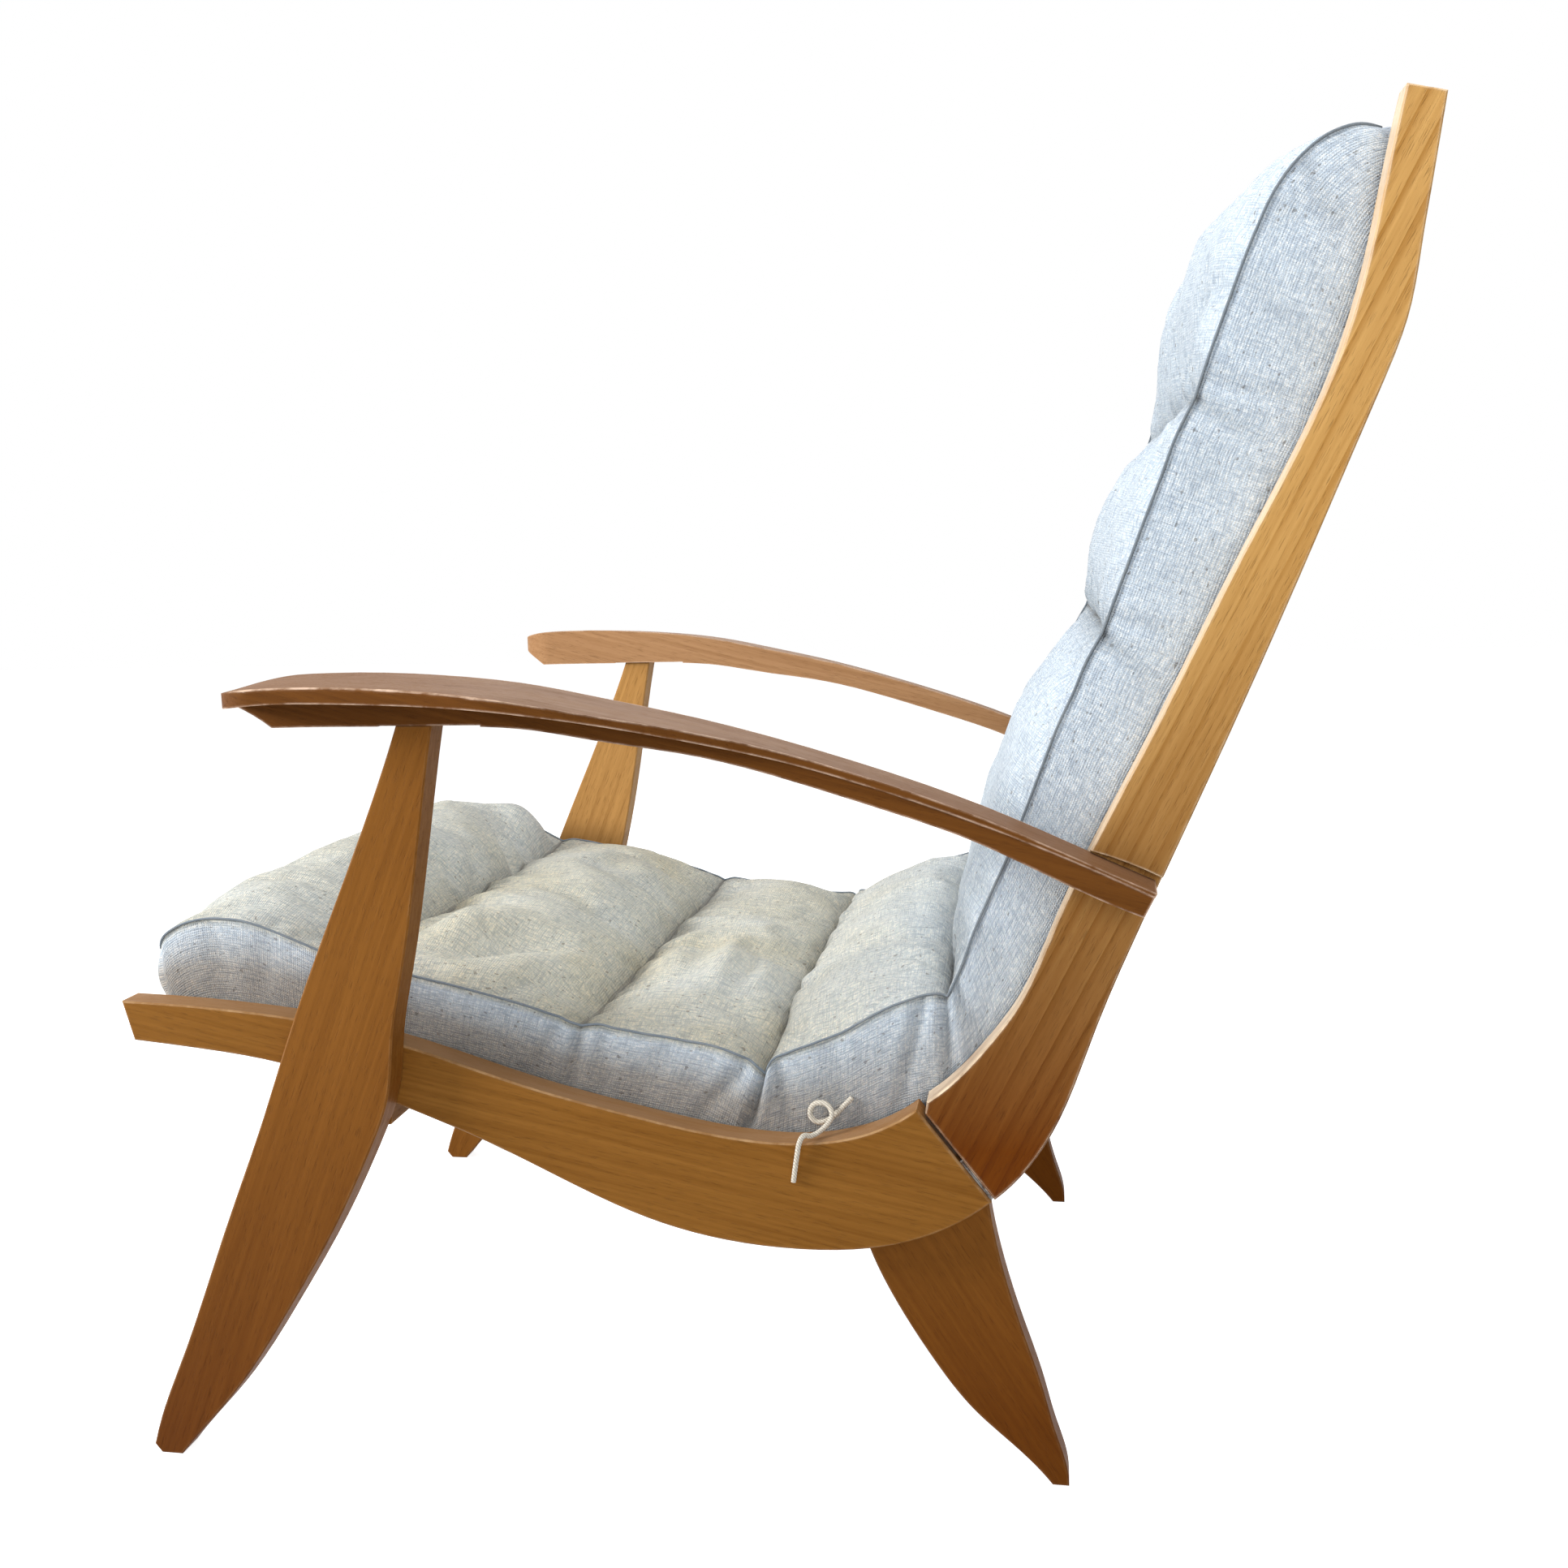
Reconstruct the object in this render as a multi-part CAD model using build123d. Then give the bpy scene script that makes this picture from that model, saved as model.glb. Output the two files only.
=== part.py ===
from build123d import *
import math
import os

os.makedirs("parts", exist_ok=True)

# A high-backed lounge chair sawn from flat planks. The seat frame carries the legs and the arms. The back
# frame turns on a butt hinge in the seam between each seat rail and its post. A channelled mattress lies on
# both. +X runs from the front of the seat to the back, +Y is the sitter's right and +Z is up. The sizes below
# are in millimetres, and x starts at the front end of the seat rails until the pieces are centred.

# Driving dimensions
inside_width = 555.0
plank = 25.0
rail_length = 694.0
rail_front_height = 377.0
rail_dip_height = 279.5
rail_depth = 84.5
hinge_drop = 35.5
back_lean = 294.0
back_rise = 763.0
leg_height = 602.0
leg_rake = 289.0
rear_leg_kick = 62.0
arm_width = 79.5
arm_overhang = 123.5
arm_crest = 37.0
arm_fall = 163.0
recline_travel = 27.0461

# Clearances and small values that several pieces share
overrun = 4.0
arris = 1.2
soft_gap = 1.0
slide_gap = 0.3

rail_inner = inside_width / 2
rail_outer = rail_inner + plank
leg_outer = rail_outer + plank
rear_leg_inner = rail_inner - plank
rail_low_height = rail_dip_height - rail_depth
hinge_height = rail_dip_height - hinge_drop
rail_rise = rail_front_height - rail_low_height
chair_length = rail_length + back_lean
hinge_x = rail_length
hinge_z = hinge_height


def points_of(shares, corner, size):
    """Side view points, from shares of a piece's own length and height."""
    return [(corner[0] + across * size[0], corner[1] + up * size[1]) for across, up in shares]


def curve(points, y=0.0):
    """One edge in the plane at y: a straight line through two points, a smooth curve through more."""
    places = [Vector(x, y, z) for x, z in points]
    if len(places) == 2:
        return Line(*places)
    return Spline(*places)


def slab(runs, inner, outer):
    """A piece with a closed side outline, made of runs of points, between two planes across the chair."""
    face = make_face([curve(run, inner) for run in runs])
    return extrude(face, amount=outer - inner, dir=(0, 1, 0))


def inward(edge, share):
    """The direction square to a support edge that points into the wood."""
    along = edge.tangent_at(share)
    return Vector(along.Z, 0, -along.X)


def sunk(edge, share, depth):
    """A point at a share of a support edge, sunk by a depth into the wood."""
    return edge.position_at(share) + inward(edge, share) * depth


def share_at(edge, value, axis):
    """The share along a support edge where the edge reaches a value of x or z."""
    low, high = 0.0, 1.0
    for _ in range(40):
        middle = (low + high) / 2
        place = edge.position_at(middle)
        if (place.X if axis == "x" else place.Z) < value:
            low = middle
        else:
            high = middle
    return (low + high) / 2


def x_at(edge, z):
    """The x of a rising support edge at a height."""
    return edge.position_at(share_at(edge, z, "z")).X


def plain(vector):
    """The x and z of a point."""
    return (vector.X, vector.Z)


def other_side(shape):
    """The same piece on the sitter's left."""
    return mirror(shape, about=Plane.XZ)


def largest(shape):
    """The biggest solid of a cut piece."""
    return max(shape.solids(), key=lambda solid: solid.volume)


def soften(shape, size):
    """A small chamfer along the long arrises of a board."""
    edges = [edge for edge in shape.edges() if abs(edge.tangent_at(0.5).Y) < 0.5]
    return chamfer(edges, size)


# The seam between a seat rail and its post, and the hinge line at its lower end
seam_tilt = 38.0
seam_gap = 3.0
seam_depth = 85.0
seam_up = Vector(-math.sin(math.radians(seam_tilt)), 0, math.cos(math.radians(seam_tilt)))
seam_back = Vector(seam_up.Z, 0, -seam_up.X)
hinge = Vector(hinge_x, 0, hinge_z)


def seam_point(up, back):
    """A point beside the seam, from its height above the hinge line and its distance behind the middle."""
    return hinge + seam_up * up + seam_back * back


# Side rails of the seat, each a plank with a dipped top edge and a deeper belly under the hinge end
rail_top_shares = [
    (0.000, 1.000), (0.052, 0.987), (0.153, 0.938), (0.217, 0.888), (0.377, 0.627), (0.481, 0.399),
    (0.611, 0.171), (0.721, 0.026), (0.789, 0.000), (0.864, 0.089),
]
rail_low_shares = [
    (0.863, 0.016), (0.787, 0.000), (0.717, 0.020), (0.626, 0.099), (0.532, 0.248), (0.439, 0.413),
    (0.351, 0.545), (0.194, 0.736), (0.098, 0.790), (0.012, 0.822),
]
rail_corner = (0.0, rail_low_height)
rail_size = (rail_length, rail_rise)
rail_heel = 4.0
rail_dip_corner = (0.0, rail_dip_height)
rail_dip_size = (rail_length, rail_front_height - rail_dip_height)
rail_top = points_of(rail_top_shares, rail_dip_corner, rail_dip_size)
rail_top.append(plain(seam_point(seam_depth, -seam_gap / 2)))
rail_end_low = plain(seam_point(-rail_heel, -seam_gap / 2))
rail_belly = [rail_end_low] + points_of(rail_low_shares, rail_corner, rail_size)
rail_edge = curve(rail_top)

# Back posts, nearly straight, bent forward near the top and cut to the seam at the foot
post_front_shares = [
    (-0.075, 0.121), (-0.007, 0.151), (0.065, 0.189), (0.163, 0.273), (0.378, 0.444),
    (0.588, 0.613), (0.789, 0.779), (0.847, 0.860), (0.881, 0.932), (0.915, 1.000),
]
post_rear_shares = [
    (1.000, 0.992), (0.980, 0.934), (0.959, 0.875), (0.936, 0.815), (0.878, 0.750), (0.711, 0.588),
    (0.537, 0.426), (0.354, 0.262), (0.259, 0.170), (0.163, 0.073), (0.092, 0.029),
]
post_corner = (hinge_x, hinge_z)
post_size = (back_lean, back_rise)
post_nose_round = 6.5
post_foot_low = plain(seam_point(-rail_heel, seam_gap / 2))
post_foot_high = plain(seam_point(seam_depth - post_nose_round, seam_gap / 2))
post_nose = plain(seam_point(seam_depth, seam_gap / 2 + post_nose_round))
post_front = [post_nose] + points_of(post_front_shares, post_corner, post_size)
post_rear = points_of(post_rear_shares, post_corner, post_size) + [post_foot_low]
post_edge = curve(post_front)
post_rear_edge = curve(post_rear[::-1])

# Grooves along the inner faces of the rails and posts, where the spring wires are hooked in
spring_radius = 6.0
wire_radius = 1.2
spring_sink = 13.0
groove_width = 12.0
hook_bend = 2.6
hook_fit = 0.1
wire_room = 3.5
groove_top = spring_sink + spring_radius - wire_room
groove_low = spring_sink + spring_radius + hook_bend + hook_fit
groove_points = 16
seat_groove_shares = (0.05, 0.97)
back_groove_shares = (0.10, 0.93)


def groove(edge, shares):
    """The wood taken out of the inner face along a support edge."""
    low, high = shares
    steps = [low + (high - low) * step / groove_points for step in range(groove_points + 1)]
    above = [plain(sunk(edge, share, groove_top)) for share in steps]
    below = [plain(sunk(edge, share, groove_low)) for share in steps]
    runs = [above, [above[-1], below[-1]], below[::-1], [below[0], above[0]]]
    return slab(runs, rail_inner - overrun, rail_inner + groove_width)


# Tension springs in cloth sleeves. A wire hook at each end lies in the groove and turns down into a hole.
seat_spring_shares = [0.10, 0.21, 0.32, 0.43, 0.54, 0.65, 0.76, 0.87]
back_spring_shares = [0.160, 0.248, 0.336, 0.424, 0.512, 0.600, 0.688, 0.776, 0.864]
sleeve_gap = 8.0
sleeve_taper = 3.0
hook_hole_depth = 9.0
hook_y = rail_inner + groove_width / 2


def spring_axis(edge, share):
    """The middle of a spring under a support edge."""
    return sunk(edge, share, spring_sink + spring_radius)


def hook_hole(edge, share):
    """The hole that a wire turns down into."""
    start = spring_axis(edge, share) + Vector(0, hook_y, 0)
    mouth = Plane(origin=start, z_dir=inward(edge, share))
    return mouth * extrude(Circle(wire_radius + hook_fit), hook_hole_depth + hook_fit)


def sleeve(edge, share):
    """One cloth sleeve over a spring, right across the seat or the back."""
    length = 2 * (rail_inner - sleeve_gap)
    body = chamfer(Cylinder(spring_radius, length).edges(), sleeve_taper)
    return Location(spring_axis(edge, share)) * Rot(90, 0, 0) * body


def wire_hook(edge, share):
    """The bent wire from a sleeve's end into its hole."""
    start = spring_axis(edge, share) + Vector(0, rail_inner - sleeve_gap, 0)
    turn = spring_axis(edge, share) + Vector(0, hook_y, 0)
    end = turn + inward(edge, share) * hook_hole_depth
    path = FilletPolyline(start, turn, end, radius=hook_bend)
    section = Plane(origin=start, z_dir=(0, 1, 0)) * Circle(wire_radius)
    return sweep(section, path=path)


# Butt hinges in the seams: thin leaves on the two end faces, three knuckles at the lower end and a pin
leaf_thickness = 1.3
leaf_length = 34.0
hinge_width = 19.0
knuckle_radius = 3.0
pin_radius = 1.5
pin_fit = 0.05
knuckle_gap = 0.3
knuckle_room = 0.7
knuckles = 3
hinge_middle = rail_inner + plank / 2
knuckle_pitch = hinge_width / knuckles


def cylinder_across(radius, low, high):
    """A cylinder about the hinge line between two planes across the chair."""
    middle = (low + high) / 2
    return Location(hinge + Vector(0, middle, 0)) * Rot(90, 0, 0) * Cylinder(radius, high - low)


def seam_plate(up_low, up_high, back_low, back_high, low, high):
    """A flat plate along the seam, from its extents above and behind the hinge line and across the chair."""
    corners = [
        seam_point(up_low, back_low), seam_point(up_high, back_low),
        seam_point(up_high, back_high), seam_point(up_low, back_high),
    ]
    flat = [plain(corner) for corner in corners]
    runs = [[flat[side], flat[(side + 1) % len(flat)]] for side in range(len(flat))]
    return slab(runs, low, high)


def hinge_leaf(side, own_knuckles):
    """A leaf with its knuckles. The side is -1 on the rail and 1 on the post."""
    near, far = sorted((side * seam_gap / 2, side * (seam_gap / 2 - leaf_thickness)))
    low = hinge_middle - hinge_width / 2
    free = knuckle_radius + knuckle_gap
    leaf = seam_plate(free, leaf_length, near, far, low, low + hinge_width)
    bore = pin_radius if side < 0 else pin_radius + pin_fit
    for knuckle in own_knuckles:
        start = low + knuckle * knuckle_pitch + knuckle_gap / 2
        end = start + knuckle_pitch - knuckle_gap
        leaf += seam_plate(0, free + arris, near, far, start, end)
        leaf += cylinder_across(knuckle_radius, start, end)
    return largest(leaf - cylinder_across(bore, low - overrun, low + hinge_width + overrun))


hinge_room = cylinder_across(
    knuckle_radius + knuckle_room,
    hinge_middle - hinge_width / 2 - knuckle_gap,
    hinge_middle + hinge_width / 2 + knuckle_gap,
)

# Front legs: pointed blades outside the rails, from the floor to the arms
leg_front_shares = [
    (0.035, 0.012), (0.069, 0.060), (0.149, 0.146), (0.304, 0.324), (0.446, 0.483), (0.543, 0.601),
    (0.640, 0.709), (0.716, 0.789), (0.803, 0.882), (0.903, 1.000),
]
leg_rear_shares = [
    (1.000, 1.000), (0.958, 0.892), (0.920, 0.789), (0.875, 0.684), (0.837, 0.600), (0.813, 0.520),
    (0.761, 0.457), (0.630, 0.336), (0.474, 0.216), (0.287, 0.091), (0.166, 0.027), (0.118, 0.000),
]
leg_foot_share = (0.055, 0.000)


# Arms: boards with a broad thin lip that overhangs outside and a deeper rib below that stands on the leg. The
# top falls a little to the outside. The inner face is let into a housing across the post, concentric with the
# hinge, so the arm's end slides along it when the back reclines.
housing_depth = 5.0
housing_height = 28.0
arm_end_share = 0.928
arm_rib_margin = 5.0
arm_lip = 12.0
arm_camber = 4.5
arm_tip_share = 0.43
arm_edge_round = 2.4
arm_taper_share = 0.35
arm_neck_share = 0.62
arm_neck_round = 350.0
arm_neck_margin = 4.0
arm_rear_margin = 1.5
arm_inner = rail_outer - housing_depth
rib_outer = leg_outer + arm_rib_margin
arm_top_height = leg_height + arm_crest
arm_outer = arm_inner + arm_width
arm_front = leg_rake * leg_front_shares[-1][0] - arm_overhang
arm_end_z = arm_top_height - arm_fall
post_front_at_arm = x_at(post_edge, arm_end_z)
post_rear_at_arm = x_at(post_rear_edge, arm_end_z)
arm_end_x = post_front_at_arm + arm_end_share * (post_rear_at_arm - post_front_at_arm)
arm_length = arm_end_x - arm_front
arm_corner = (arm_front, arm_end_z)
arm_size = (arm_length, arm_fall)
arm_end_middle = Vector(arm_end_x, 0, arm_end_z)
housing_radius = (arm_end_middle - hinge).length
recline_degrees = math.degrees(recline_travel / housing_radius)
arm_top_shares = [
    (0.000, 0.958), (0.035, 0.988), (0.084, 1.000), (0.144, 1.000), (0.230, 0.982), (0.324, 0.939),
    (0.416, 0.865), (0.507, 0.785), (0.639, 0.640), (0.728, 0.525), (0.813, 0.400), (0.931, 0.190),
    (1.042, -0.010),
]
# Along the arm: the share of its length, and the lip's thickness as a share of the lip at the front
arm_lip_shares = [
    (0.000, 0.92), (0.035, 1.00), (0.144, 1.00), (0.324, 0.75), (0.507, 0.60), (0.728, 0.50), (1.042, 0.45),
]
# The underside of the rib, which rises to the tip in a short nose
arm_nose_shares = [(0.000, 0.868), (0.019, 0.828), (0.041, 0.767)]
arm_rib_shares = [
    (0.041, 0.767), (0.144, 0.770), (0.201, 0.769), (0.258, 0.768), (0.337, 0.752), (0.427, 0.692),
    (0.515, 0.637), (0.646, 0.497), (0.730, 0.387), (0.815, 0.264), (0.907, 0.086), (1.042, -0.130),
]


def ring_sector(inner_radius, outer_radius, low, high):
    """A flat ring about the hinge line."""
    disc = cylinder_across(outer_radius, low, high)
    return disc - cylinder_across(inner_radius, low - overrun, high + overrun)


# Guide screws: a screw in each arm's end slides in a stepped slot through the post
screw_radius = 2.5
screw_fit = 0.05
screw_length = 38.0
screw_head_radius = 5.0
screw_head_height = 3.0
screw_head_sink = 0.5
slot_fit = 0.4
screw_setback = 11.0
arm_end_lean = math.degrees(math.atan2(arm_end_middle.X - hinge.X, arm_end_middle.Z - hinge.Z))
screw_angle = arm_end_lean - math.degrees(screw_setback / housing_radius)


def ring_point(angle):
    """A point on the housing's middle arc, from its angle behind the upright over the hinge line."""
    turn = math.radians(angle)
    return hinge + Vector(math.sin(turn), 0, math.cos(turn)) * housing_radius


def arc_slot(radius, low, high):
    """A slot along the housing's arc, as long as the arm's end travels."""
    start = ring_point(screw_angle - recline_degrees)
    end = ring_point(screw_angle)
    middle_angle = screw_angle - recline_degrees / 2
    ring = ring_sector(housing_radius - radius, housing_radius + radius, low, high)
    reach = 2 * housing_radius * math.sin(math.radians(recline_degrees / 2))
    window = Location(ring_point(middle_angle)) * Rot(0, middle_angle, 0) * Box(reach, plank, 4 * radius)
    window = Location(Vector(0, (low + high) / 2, 0)) * window
    slot = ring & window
    round_end = Rot(90, 0, 0) * Cylinder(radius, high - low)
    for place in (start, end):
        slot += Location(place + Vector(0, (low + high) / 2, 0)) * round_end
    return slot


def seat_rail():
    """A seat rail with its groove, hook holes, notch over the front cross rail and room for the hinge."""
    front_end = [rail_belly[-1], rail_top[0]]
    heel = [rail_top[-1], rail_end_low]
    board = slab([rail_top, heel, rail_belly, front_end], rail_inner, rail_outer)
    board = soften(board, arris)
    board -= groove(rail_edge, seat_groove_shares)
    for share in seat_spring_shares:
        board -= hook_hole(rail_edge, share)
    for place in leg_dowel_places():
        board -= lap_dowel(place, rail_outer, dowel_fit)
    for place in rear_leg_dowel_places():
        board -= lap_dowel(place, rail_inner, dowel_fit)
    board -= front_cross_rail()
    board -= hinge_room
    return largest(board)


def back_post():
    """A back post with its groove, hook holes, housing for the arm, slot and room for the hinge."""
    top_end = [post_front[-1], post_rear[0]]
    foot_runs = [[post_foot_low, post_foot_high], [post_foot_high, post_nose]]
    board = slab([post_front, top_end, post_rear] + foot_runs, rail_inner, rail_outer)
    board = soften(board, arris)
    board -= groove(post_edge, back_groove_shares)
    for share in back_spring_shares:
        board -= hook_hole(post_edge, share)
    half = housing_height / 2
    floor = rail_outer - housing_depth - slide_gap
    board -= ring_sector(housing_radius - half, housing_radius + half, floor, rail_outer + overrun)
    head_floor = rail_inner + screw_head_sink + screw_head_height
    board -= arc_slot(screw_radius + slot_fit, rail_inner - overrun, rail_outer)
    board -= arc_slot(screw_head_radius + slot_fit, rail_inner - overrun, head_floor)
    board -= hinge_room
    return largest(board)


def front_leg():
    """A front leg, with a dowel hole in its top."""
    size = (leg_rake, leg_height)
    front = points_of(leg_front_shares, (0.0, 0.0), size)
    rear = points_of(leg_rear_shares, (0.0, 0.0), size)
    foot = points_of([leg_foot_share], (0.0, 0.0), size)[0]
    runs = [front, [front[-1], rear[0]], rear, [rear[-1], foot], [foot, front[0]]]
    board = slab(runs, rail_outer, leg_outer)
    board = soften(board, arris)
    board -= arm_dowel(dowel_fit)
    for place in leg_dowel_places():
        board -= lap_dowel(place, rail_outer, dowel_fit)
    return largest(board)


# Rear legs: short kicked blades inside the rails
rear_leg_front_shares = [
    (0.742, 0.000), (0.274, 0.123), (-0.226, 0.238), (-0.726, 0.402), (-1.226, 0.611), (-1.500, 0.762),
    (-1.660, 0.930),
]
rear_leg_top_shares = [(-1.660, 0.930), (-1.516, 1.045), (-0.330, 1.045), (-0.048, 0.984)]
rear_leg_rear_shares = [
    (-0.048, 0.984), (0.129, 0.730), (0.371, 0.520), (0.629, 0.320), (0.774, 0.184),
    (0.935, 0.040), (0.945, 0.000),
]


def rear_leg():
    """A rear leg lapped on the inside of its rail."""
    corner = (hinge_x, 0.0)
    size = (rear_leg_kick, hinge_height)
    front = points_of(rear_leg_front_shares, corner, size)
    rear = points_of(rear_leg_rear_shares, corner, size)
    top = points_of(rear_leg_top_shares, corner, size)
    top_runs = [list(pair) for pair in zip(top, top[1:])]
    runs = [front] + top_runs + [rear, [rear[-1], front[0]]]
    board = slab(runs, rear_leg_inner, rail_inner)
    board = soften(board, arris)
    for place in rear_leg_dowel_places():
        board -= lap_dowel(place, rail_inner, dowel_fit)
    return largest(board)


# Dowels in the glued laps and under the arms
dowel_radius = 4.0
dowel_fit = 0.05
dowel_reach = 12.0
arm_dowel_reach = 20.0
arm_dowel_share = 0.951
leg_lap_share = 0.750
leg_dowel_shares = [0.24, 0.70]
rear_leg_dowel_shares = [(-1.250, 0.880), (-0.600, 0.970)]


def lap_dowel(place, plane_y, fit):
    """A dowel across a lap, or its hole when a fit is added."""
    body = Cylinder(dowel_radius + fit, 2 * (dowel_reach + fit))
    return Location(Vector(place[0], plane_y, place[1])) * Rot(90, 0, 0) * body


def arm_dowel(fit):
    """The upright dowel between a front leg's top and its arm, or its hole when a fit is added."""
    place = Vector(arm_dowel_share * leg_rake, rail_outer + plank / 2, leg_height)
    return Location(place) * Cylinder(dowel_radius + fit, 2 * (arm_dowel_reach + fit))


def leg_dowel_places():
    """Two places across a front leg at the height of its lap on the rail."""
    height = rail_low_height + leg_lap_share * rail_rise
    front = x_at(curve(points_of(leg_front_shares, (0.0, 0.0), (leg_rake, leg_height))), height)
    rear = x_at(curve(points_of(leg_rear_shares[::-1], (0.0, 0.0), (leg_rake, leg_height))), height)
    return [(front + share * (rear - front), height) for share in leg_dowel_shares]


def rear_leg_dowel_places():
    return points_of(rear_leg_dowel_shares, (hinge_x, 0.0), (rear_leg_kick, hinge_height))


def height_on(edge, x):
    """The height of an arm's edge at a place along the chair."""
    return edge.position_at(share_at(edge, x, "x")).Z


def edge_below(edge, shares, drops):
    """Points under an arm's top edge, from shares of its length and a drop at each."""
    places = [arm_front + along * arm_length for along in shares]
    return [(x, height_on(edge, x) - drop) for x, drop in zip(places, drops)]


def arm_plan():
    """The arm seen from above, as a block with a round tip that narrows behind the middle to the rib's width."""
    rear = arm_front + arm_length * 1.1
    taper = arm_front + arm_length * arm_taper_share
    neck = arm_front + arm_length * arm_neck_share
    corners = [(arm_front, arm_inner), (rear, arm_inner), (rear, rib_outer + arm_rear_margin)]
    corners += [(neck, rib_outer + arm_neck_margin), (taper, arm_outer), (arm_front, arm_outer)]
    flat = make_face(Polyline(*[Vector(x, y) for x, y in corners], close=True))
    block = extrude(flat, amount=arm_top_height + overrun, dir=(0, 0, 1))
    neck_edges = [edge for edge in block.edges().filter_by(Axis.Z) if taper - arris < (edge @ 0.5).X < neck + arris]
    block = fillet(neck_edges, arm_neck_round)
    tip_edges = [edge for edge in block.edges().filter_by(Axis.Z) if (edge @ 0.5).X < arm_front + arris]
    return fillet(tip_edges, arm_tip_share * arm_width)


def arm():
    """An arm: the lip leans out and down, the rib stands straight, both follow the same top line."""
    top = points_of(arm_top_shares, arm_corner, arm_size)
    top_edge = curve(top)
    lip_places = [along for along, _ in arm_lip_shares][::-1]
    lip_drops = [arm_lip * thickness for _, thickness in arm_lip_shares][::-1]
    lip_low = edge_below(top_edge, lip_places, lip_drops)
    runs = [top, [top[-1], lip_low[0]], lip_low, [lip_low[-1], top[0]]]
    flat = make_face([curve(run, arm_inner) for run in runs])
    lip = extrude(flat, amount=math.hypot(arm_width, arm_camber), dir=(0, arm_width, -arm_camber))
    outer_edges = [edge for edge in lip.edges() if (edge @ 0.5).Y > arm_outer - arris]
    long_edges = [edge for edge in outer_edges if edge.length > arm_length / 2]
    top_arris = max(long_edges, key=lambda edge: (edge @ 0.5).Z)
    lip = fillet([top_arris], arm_edge_round)
    nose = points_of(arm_nose_shares, arm_corner, arm_size)
    rib_low = points_of(arm_rib_shares, arm_corner, arm_size)
    rib_places = [along for along, _ in arm_nose_shares[:1] + arm_rib_shares][::-1]
    rib_top = edge_below(top_edge, rib_places, [arm_camber] * len(rib_places))
    rib_ends = [[rib_low[-1], rib_top[0]], rib_top, [rib_top[-1], nose[0]]]
    rib = slab([nose, rib_low] + rib_ends, arm_inner, rib_outer)
    body = (lip + rib) & arm_plan()
    end_length = 3 * arm_crest
    place = Location(arm_end_middle) * Rot(0, arm_end_lean, 0) * Location(Vector(end_length / 2, 0, 0))
    body -= place * Box(end_length, 4 * arm_outer, end_length)
    seat_middle = Vector(leg_rake, (rail_outer + leg_outer) / 2, leg_height - arm_width / 2)
    body -= Location(seat_middle) * Box(arm_width, 4 * plank, arm_width)
    body -= arm_dowel(dowel_fit)
    hole = Cylinder(screw_radius + screw_fit, 2 * screw_length)
    body -= Location(ring_point(screw_angle) + Vector(0, rail_inner, 0)) * Rot(90, 0, 0) * hole
    return largest(body)


def guide_screw():
    """The round-headed screw that runs in the post's slot and holds in the arm."""
    start = rail_inner + screw_head_sink
    head = Cylinder(screw_head_radius, screw_head_height)
    shank_length = screw_length - screw_head_sink - screw_head_height
    shank = Cylinder(screw_radius, shank_length)
    place = ring_point(screw_angle)
    turn = Rot(90, 0, 0)
    head = Location(place + Vector(0, start + screw_head_height / 2, 0)) * turn * head
    shank_middle = start + screw_head_height + shank_length / 2
    shank = Location(place + Vector(0, shank_middle, 0)) * turn * shank
    return largest(head + shank)


# Cross rails. The front one passes under notches in the seat rails and ends on the legs, the others fit
# between the rails or the posts.
front_cross_size = (26.0, 40.0)
front_cross_share = 0.692
front_cross_drop = 31.9
rear_cross_size = (25.0, 54.0)
rear_cross_room = 6.1
rear_cross_drop = 26.6
lower_cross_size = (24.0, 60.0)
lower_cross_share = (0.170, 0.175)
top_cross_size = (14.0, 70.0)
top_cross_share = (0.908, 0.885)
back_board_lean = 24.0
top_board_lean = 8.5


def cross_board(corner, size, half_length, lean):
    """A board across the chair with its lower front corner at a point, leaning back by an angle."""
    thick, high = size
    body = Box(thick, 2 * half_length, high)
    body = chamfer([edge for edge in body.edges() if abs(edge.tangent_at(0.5).Y) > 0.5], arris)
    place = Location(Vector(corner[0], 0, corner[1])) * Rot(0, lean, 0)
    return place * Location(Vector(thick / 2, 0, high / 2)) * body


def seat_board(front_x, size, drop, half_length):
    """An upright board across the seat, with its top a drop below the rails' top edge."""
    thick, high = size
    top = height_on(rail_edge, front_x + thick / 2) - drop
    return cross_board((front_x, top - high), size, half_length, 0.0)


def front_cross_rail():
    return seat_board(front_cross_share * leg_rake, front_cross_size, front_cross_drop, rail_outer)


def rear_cross_rail():
    leg_front = hinge_x + rear_leg_top_shares[0][0] * rear_leg_kick
    front_x = leg_front - rear_cross_size[0] - rear_cross_room
    return seat_board(front_x, rear_cross_size, rear_cross_drop, rail_inner)


def lower_cross_rail():
    corner = points_of([lower_cross_share], post_corner, post_size)[0]
    return cross_board(corner, lower_cross_size, rail_inner, back_board_lean)


def top_cross_rail():
    corner = points_of([top_cross_share], post_corner, post_size)[0]
    return cross_board(corner, top_cross_size, rail_inner, top_board_lean)


# The mattress: one seat part and one back part, with sewn channels across, lying in the frame on the springs
cushion_thickness = 62.0
cushion_side_gap = 3.5
cushion_crown = 16.0
cushion_round = 9.0
cushion_side_draw = 4.0
crease_gap = 1.0
cushion_sink = spring_sink - soft_gap
nose_reach = 14.0
seat_node_shares = [0.024, 0.268, 0.540, 0.752]
seat_seam_shares = [0.95, 1.02, 1.12, 1.22]
seat_crown_shares = [1.15, 0.95, 0.80, 1.00]
back_node_shares = [0.467, 0.684, 0.925]
back_seam_shares = [1.11, 1.33, 1.25]
back_crown_shares = [1.30, 0.90, 0.80]
crease_shares = (0.31, 1.45)
top_round_share = 0.30
crown_scales = [0.35, 0.50, 0.72, 0.90, 1.00]
crown_place_shares = [1.00, 0.85, 0.50, 0.00]


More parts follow.
